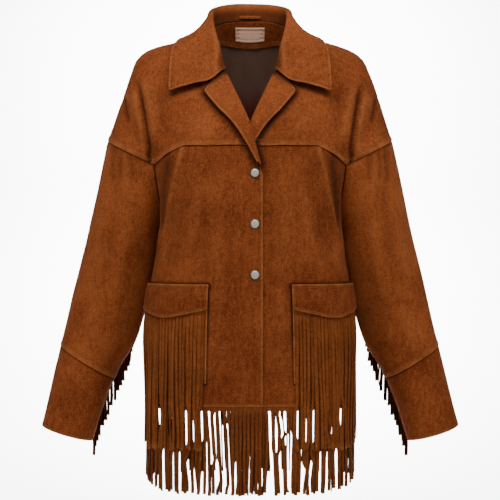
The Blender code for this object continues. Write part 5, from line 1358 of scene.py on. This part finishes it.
# %% Pocket fringe
POCKET_PITCH, STRIP_TOP_Z, STRIP_FOOT_Z = 0.0066, -0.486, -0.502
strip_start, strip_end = FLAP_START + STRIP_START_INSET, FLAP_START + FLAP_WIDTH - STRIP_INSET
count = round((strip_end - strip_start) / POCKET_PITCH)
middles = strip_start + (np.arange(count) + 0.5) * (strip_end - strip_start) / count
out_by = LAID_GAP + WALL + FRINGE_GAP + FRINGE_WALL / 2
flare = np.linspace(0, 1, STRAND_ROWS)[None] * FRINGE_FLARE
arc, z = np.meshgrid(np.linspace(strip_start, strip_end, 2 * count + 1),
                     np.linspace(STRIP_TOP_Z, STRIP_FOOT_Z - 0.001, 6))
for hand, side in (LEFT_HAND, RIGHT_HAND):
    roots, out = laid(middles, np.full(count, STRIP_FOOT_Z), out_by, side)
    tips = POCKET_FRINGE_TIP_Z - 0.004 * bump(np.arange(count), 0.72 * count, 0.3 * count)
    tips = tips + 0.0025 * steady(count, 3 + side)
    tips = tips + 0.010 * ramp(middles, FLAP_START + 0.75 * FLAP_WIDTH, FLAP_START + FLAP_WIDTH)
    widths = POCKET_PITCH * (0.95 + 0.15 * steady(count, 12 + side))
    across = unit(np.gradient(roots, axis=0))
    hung = strands(called("pocket_fringe_suede", hand), roots, across, out, tips, widths, 3 + side, lean=0.0042,
                   twist=0.25, path=lambda z: laid(middles[:, None], z, out_by + flare, side)[0], layers=0.0010,
                   partings=PARTINGS)
    strip = shell(called("pocket_fringe_strip", hand), *laid(arc, z, out_by + FRINGE_WALL / 2, side), FRINGE_SUEDE,
                  wall=FRINGE_WALL, tone=0.5)
    trims["pocket", hand] += [hung, strip]
print("pocket strands:", count, "on each side")

# %% Sleeve fringe
SLEEVE_STRANDS, SLEEVE_STRAND_LENGTH, SLEEVE_STRAND_WIDTH = 21, 0.094, 0.0070
SLEEVE_FRINGE_SPAN, SLEEVE_FRINGE_TURNS = (0.27, 0.885), (0.675, 0.655)
SLEEVE_AXIS_POINT, LEVEL = (0.27, 0.02, -0.45), np.array([1, 1, 0])
share, turn = np.meshgrid(np.linspace(*SLEEVE_FRINGE_SPAN, SLEEVE_STRANDS * 2 + 1),
                          np.linspace(*SLEEVE_FRINGE_TURNS, 4))
form, form_normals = sleeve(turn, share), outward(sleeve, turn, share, SLEEVE_AXIS_POINT, step=1e-3)
for hand, side in (LEFT_HAND, RIGHT_HAND):
    normals = mirrored(form_normals, side)
    grid = raised(mirrored(form, side), normals, LAID_GAP + FRINGE_WALL, "sleeve")
    strip = shell(called("sleeve_fringe_strip", hand), grid, normals, FRINGE_SUEDE, wall=FRINGE_WALL, tone=0.42)
    roots = grid[-1, 1::2] - normals[-1, 1::2] * FRINGE_WALL / 2 + np.array([0, 0, 0.002])
    seam, out = unit(np.gradient(roots, axis=0)), unit(normals[-1, 1::2] * LEVEL)
    across = unit(unit(seam - out * np.sum(seam * out, axis=-1, keepdims=True)) * LEVEL)
    tips = roots[:, 2] - SLEEVE_STRAND_LENGTH - 0.004 * steady(SLEEVE_STRANDS, 7)
    widths = SLEEVE_STRAND_WIDTH * (1 + 0.05 * steady(SLEEVE_STRANDS, 8))
    # the strands behind the arm get painted shade
    hung = strands(called("sleeve_fringe_suede", hand), roots, across, out, tips, widths, 7 + side, lean=0.0015,
                   twist=0.35, layers=0.0006, dark=0.5)
    trims["sleeve", hand] += [hung, strip]
print("sleeve strands:", SLEEVE_STRANDS, "on each side")

# %% [markdown]
# ## Where one piece lies over another
#
# Beside an overlying edge the light reaches least, so the pieces under the collar, the lapels, the
# flaps and the pockets get a painted shadow close to those edges. It fades within a centimetre.

# %% Painted shadow beside overlying edges
CONTACT_REACH, CONTACT_GAP, CONTACT_DEPTH = 0.0062, 0.0055, 0.94


def deepened(part, hand, covers, gap=CONTACT_GAP, reach=CONTACT_REACH):
    """Adds shade to a cloth's painted values near the outer faces of the pieces that cover it."""
    piece, grid, _ = cloth[part, hand]
    colours = piece.data.color_attributes["nap"].data
    painted = np.empty(len(colours) * 4)
    colours.foreach_get("color", painted)
    tree = tree_of(covers)
    found = [tree.find_nearest(tuple(point), gap + 3 * reach)[3] for point in grid.reshape(-1, 3)]
    near = np.array([1.0 if away is None else away for away in found])
    deeper = CONTACT_DEPTH * bump(np.maximum(near - gap, 0), 0, reach)
    shade = painted.reshape(-1, 4)[: len(near), 1]
    shade[:] = np.maximum(shade, deeper)
    colours.foreach_set("color", painted)
    return int((deeper > 0.1).sum())


leaf_rows = len(half) - fold_row
leaf_middle = slice(fold_row + leaf_rows // 4, len(half) - leaf_rows // 6)
leaf_fronts = [collar[leaf_middle, :2], collar[leaf_middle, -2:]]  # they lift off, and shade the yoke most
for hand, side in (LEFT_HAND, RIGHT_HAND):
    over = [collar] + [cloth["lapel", name][1] for name in ("left", "right")[: 1 + (side > 0)]]
    counts = [deepened("front", hand, over), deepened("front_yoke", hand, over), deepened("lapel", hand, [collar]),
              deepened("front_yoke", hand, leaf_fronts, gap=0.0095, reach=0.0038),
              deepened("front", hand, [cloth["flap", hand][1]], gap=0.0060, reach=0.0010),
              deepened("front", hand, [cloth["pocket", hand][1]], gap=0.0026, reach=0.0012)]
    print(hand, "points deepened:", counts)

# %% [markdown]
# ## Topstitching
#
# Visible seams are sewn from the outside with a lockstitch about 3 mm long. Each stitch is a short
# arch of thread that dives into the suede at both ends. A texture could only paint them, so every
# stitch is a small spindle set on the seam's own line, all of one garment in a few meshes.

# %% Stitches
STITCH_PITCH, STITCH_LENGTH, THREAD_RADIUS, THREAD_SIDES = 0.0034, 0.0027, 0.00034, 6
# along a stitch: share of its length, share of the thread's radius, and how high it runs
STITCH_ALONG, STITCH_RADIUS, STITCH_RISE = np.array([
    (0.0, 0.45, -0.00015), (0.22, 1.0, 0.00014), (0.5, 1.1, 0.00020), (0.78, 1.0, 0.00014), (1.0, 0.45, -0.00015)]).T


def circle(sides, across, up):
    """The directions of a circle's points, on a new axis before the last."""
    turns = (2 * math.pi * np.arange(sides) / sides)[:, None]
    return np.cos(turns) * across[..., None, :] + np.sin(turns) * up[..., None, :]


def inset_line(grid, normals, edge, inset):
    """The line on a piece that runs at this distance from one of its edges."""
    reach = reaches(grid)[edge]
    if edge in ("left", "right"):
        grid, normals, reach = np.swapaxes(grid, 0, 1), np.swapaxes(normals, 0, 1), reach.T
    if edge in ("bottom", "right"):
        grid, normals, reach = grid[::-1], normals[::-1], reach[::-1]
    row = np.clip((reach < inset).sum(axis=0), 1, len(grid) - 1)
    column = np.arange(grid.shape[1])
    above, below = reach[row - 1, column], reach[row, column]
    share = np.clip((inset - above) / np.maximum(below - above, 1e-9), 0, 1)[:, None]
    return grid[row - 1, column] * (1 - share) + grid[row, column] * share, normals[row, column]


def stitched(part, hand, name, seams, inset=FREE_INSET, facing=None):
    """All stitches of a cloth as one mesh. seams gives each edge's distances left free at its two ends."""
    _, grid, normals = cloth[part, hand]
    normals = normals if facing is None else np.broadcast_to(facing, grid.shape)
    runs = []
    for edge, (start, end) in seams.items():
        line, facing = inset_line(grid, normals, edge, inset)
        lengths = reached(line)
        count = int((lengths[-1] - start - end) / STITCH_PITCH)
        at = start + (np.arange(count) * STITCH_PITCH)[:, None] + STITCH_ALONG * STITCH_LENGTH
        runs.append([np.stack([np.interp(at, lengths, values[:, k]) for k in range(3)], axis=-1)
                     for values in (line, facing)])
    points, facing = (np.concatenate(run) for run in zip(*runs))
    facing = unit(facing)
    beside = unit(np.cross(unit(np.gradient(points, axis=1)), facing))
    centres = points + facing * STITCH_RISE[:, None]
    rings = centres[:, :, None] + THREAD_RADIUS * STITCH_RADIUS[:, None, None] * circle(THREAD_SIDES, beside, facing)
    faces = tube_faces(len(points), len(STITCH_ALONG), THREAD_SIDES)
    thread = made(called("thread", hand, name), rings.reshape(-1, 3), faces, [THREAD], slot=None)
    trims[part, hand].append(thread)
    print(f"{thread.name}: {len(points)} stitches")


SEAM_ENDS, SHORT_ENDS, COLLAR_ENDS, LABEL_ENDS = (0.003, 0.003), (0.004, 0.004), (0.005, 0.005), (0.002, 0.002)
for hand, side in (LEFT_HAND, RIGHT_HAND):
    stitched("front", hand, "front", dict(left=(0.03, 0.003), bottom=SEAM_ENDS))
    stitched("front_yoke", hand, "yoke", dict(bottom=SEAM_ENDS, right=SEAM_ENDS), LAP_INSET)
    stitched("lapel", hand, "lapel", dict(right=SEAM_ENDS, top=(0.012, 0.004)))
    stitched("sleeve", hand, "sleeve", dict(bottom=SEAM_ENDS), LAP_INSET)
    stitched("cuff", hand, "cuff", dict(bottom=SEAM_ENDS))
    stitched("flap", hand, "flap", dict.fromkeys(("top", "bottom", "left", "right"), SHORT_ENDS))
    rows, columns = cloth["pocket", hand][1].shape[:2]
    even = np.meshgrid(np.linspace(FLAP_START, FLAP_START + FLAP_WIDTH, columns),
                       np.linspace(PATCH_TOP_Z, PATCH_BOTTOM_Z, rows))
    stitched("pocket", hand, "pocket", dict.fromkeys(("left", "right", "bottom"), SEAM_ENDS), FREE_INSET * 0.7,
             laid(*even, 0.0, side)[1])
stitched("collar", "", "collar", dict.fromkeys(("bottom", "left", "right"), COLLAR_ENDS))
stitched("back", "", "back", dict(bottom=SEAM_ENDS))
stitched("back_yoke", "", "back_yoke", dict.fromkeys(("bottom", "left", "right"), SEAM_ENDS), LAP_INSET)
stitched("neck_label", "", "label", dict.fromkeys(("top", "bottom", "left", "right"), LABEL_ENDS), 0.0016,
         (0.0, -1.0, 0.0))

# %% [markdown]
# ## Snaps
#
# A ring snap's cap is a small brass dome pressed over a ring. Seen from the front it is a bright
# nearly flat disc with a rolled rim, which is given a darker copy of the metal as painted shade. It
# is turned like a potter's profile round the cloth's own normal.

# %% Snap caps
SNAP_SIDES, SNAP_GAP, RIM_RINGS = 48, 0.0005, 6
CAP_PROFILE = [
    # share of the radius, share of the height
    (0.96, 0.0), (1.04, 0.08), (1.06, 0.20), (1.04, 0.34), (0.98, 0.42), (0.91, 0.42), (0.88, 0.46),
    (0.86, 0.64), (0.81, 0.80), (0.71, 0.89), (0.55, 0.94), (0.38, 0.98), (0.18, 1.0), (0.02, 1.0),
]
for number, z in enumerate(SNAP_ZS, 1):
    foot = torso(float(angle_of_x(SNAP_X, z)), z)[None]
    normal = torso_normals(foot)
    foot, normal = raised(foot, normal, SNAP_GAP)[0], normal[0]
    across = unit(np.cross(normal, (0, 0, 1)))
    round_it = SNAP_RADIUS * circle(SNAP_SIDES, across, np.cross(across, normal))
    points = np.concatenate([foot + normal * SNAP_HEIGHT * height + radius * round_it
                             for radius, height in CAP_PROFILE])
    faces = tube_faces(1, len(CAP_PROFILE), SNAP_SIDES)
    # the rim's faces take the darker copy of the metal: painted shade
    which = (np.arange(len(faces)) < RIM_RINGS * SNAP_SIDES) * 1
    which[-2] = 1  # the face below is the rim's too
    cap = made(f"snap_cap_{number}", points, faces, [PEWTER, PEWTER_SHADED_RIM], which=which, slot="metal")
    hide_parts(f"snap_{number}")
    print(cap.name, "at", z)

# %% [markdown]
# ## What each piece is
#
# Every cloth is declared with the size it was cut to, measured along its own surface. Each one
# stands for its plain measured piece, and some for further measured pieces, which are then hidden.

# %% Declarations
# part, how it is held, what it hangs from, which further measured pieces it stands for
CLOTHS = {
    "front": ("hung", ["front_yoke"], ["hem_fringe"]), "front_yoke": ("hung", ["back_yoke"], []),
    "sleeve": ("hung", ["front_yoke"], ["sleeve_fringe"]), "cuff": ("hung", ["sleeve"], []),
    "lapel": ("folded", ["front"], []), "pocket": ("hung", ["front"], ["pocket_fringe"]),
    "flap": ("hung", ["front"], []),
    "back": ("hung", ["back_yoke"], ["hem_fringe_back"]),
    "back_yoke": ("hung", ["front_yoke_left", "front_yoke_right"], []),
    "collar": ("folded", ["back_yoke"], ["hanger_loop"]), "neck_facing": ("hung", ["back_yoke"], []),
    "back_lining": ("hung", ["neck_facing"], []), "neck_label": ("laid", ["neck_facing"], []),
}
trims["collar", ""].append(loop)
for (part, hand), goes_with in trims.items():
    held, rests_on, nodes = CLOTHS[part]
    rests_on = [name if name == "back_yoke" else called(name, hand) for name in rests_on]
    nodes = [called(node, hand) for node in nodes]
    declare(part, hand, nodes, ring=part in ("sleeve", "cuff"))

# %% [markdown]
# ## Light and ground
#
# A catalogue garment is lit softly from both sides and above, against a pale paper sweep, so that
# it shows its form with shallow shadows. Large lamps close to the subject give that softness. The
# sweep is one sheet: a floor that curves up behind the garment.

# %% Ground
FLOOR_Z = -1.45  # a standing wearer's neck is about this high above the ground
FLOOR_FRONT_Y, SWEEP_START_Y, SWEEP_BACK_Y, SWEEP_RADIUS, SWEEP_TOP, SWEEP_HALF = -4.5, 1.0, 4.6, 1.4, 7.0, 14.0
profile = [(FLOOR_FRONT_Y, FLOOR_Z), (SWEEP_START_Y, FLOOR_Z)]
for turn in np.linspace(0, math.pi / 2, 17):
    profile.append((SWEEP_BACK_Y - SWEEP_RADIUS * (1 - math.sin(turn)), FLOOR_Z + SWEEP_RADIUS * (1 - math.cos(turn))))
profile.append((SWEEP_BACK_Y, SWEEP_TOP))
sweep_mesh = bpy.data.meshes.new("paper_sweep")
sweep_mesh.from_pydata([(x, y, z) for y, z in profile for x in (-SWEEP_HALF, SWEEP_HALF)], [],
                       [(2 * i, 2 * i + 1, 2 * i + 3, 2 * i + 2) for i in range(len(profile) - 1)])
sweep_mesh.shade_smooth()
paper, tree, shader, place = new_finish("matt_paper", Roughness=0.9)
grain = add_node(tree, "TexNoise", {"Vector": place, "Scale": 60.0, "Detail": 4.0})
feed(tree, shader, {"Base Color": add_node(tree, "Mix", {0: grain, 6: "#F6F6F5", 7: "#FAFAF9"}, data_type="RGBA")})
sweep_mesh.materials.append(paper)
sweep = bpy.data.objects.new("paper_sweep", sweep_mesh)
scene.collection.objects.link(sweep)
print("floor at", FLOOR_Z)

# %% Lights
LAMPS = [
    # name, place, what it points at, width and height in metres, power in watts, spread of its beam in degrees
    ("key", (-0.6, -1.05, 1.55), (0.0, 0.0, -0.28), (1.2, 0.8), 22.0, 180),
    ("fill", (0.6, -1.05, 1.55), (0.0, 0.0, -0.28), (1.2, 0.8), 20.5, 180),
    ("front", (0.0, -3.4, 0.2), (0.0, 0.0, -0.40), (1.8, 1.8), 4.5, 180),
    ("left", (-2.3, -1.7, 0.3), (-0.2, 0.0, -0.40), (1.0, 1.4), 10.0, 180),
    ("right", (2.3, -1.7, 0.3), (0.2, 0.0, -0.40), (1.0, 1.4), 9.5, 180),
    ("ground", (0.0, 2.4, 2.3), (0.0, 4.6, -0.5), (2.8, 0.8), 470.0, 80),
]
WORLD_STRENGTH = 0.24
for name, place, aim, size, power, spread in LAMPS:
    data = bpy.data.lights.new(name, "AREA")
    data.shape, data.size, data.size_y, data.energy, data.spread = "RECTANGLE", *size, power, math.radians(spread)
    lamp = bpy.data.objects.new(name, data)
    lamp.location = place
    lamp.rotation_euler = (Vector(aim) - Vector(place)).to_track_quat("-Z", "Y").to_euler()
    scene.collection.objects.link(lamp)
scene.world = bpy.data.worlds.new("studio")
scene.world.use_nodes = True
feed(scene.world.node_tree, scene.world.node_tree.nodes["Background"], {"Color": "#FFFDFA", "Strength": WORLD_STRENGTH})
print("lamps:", [lamp[0] for lamp in LAMPS])
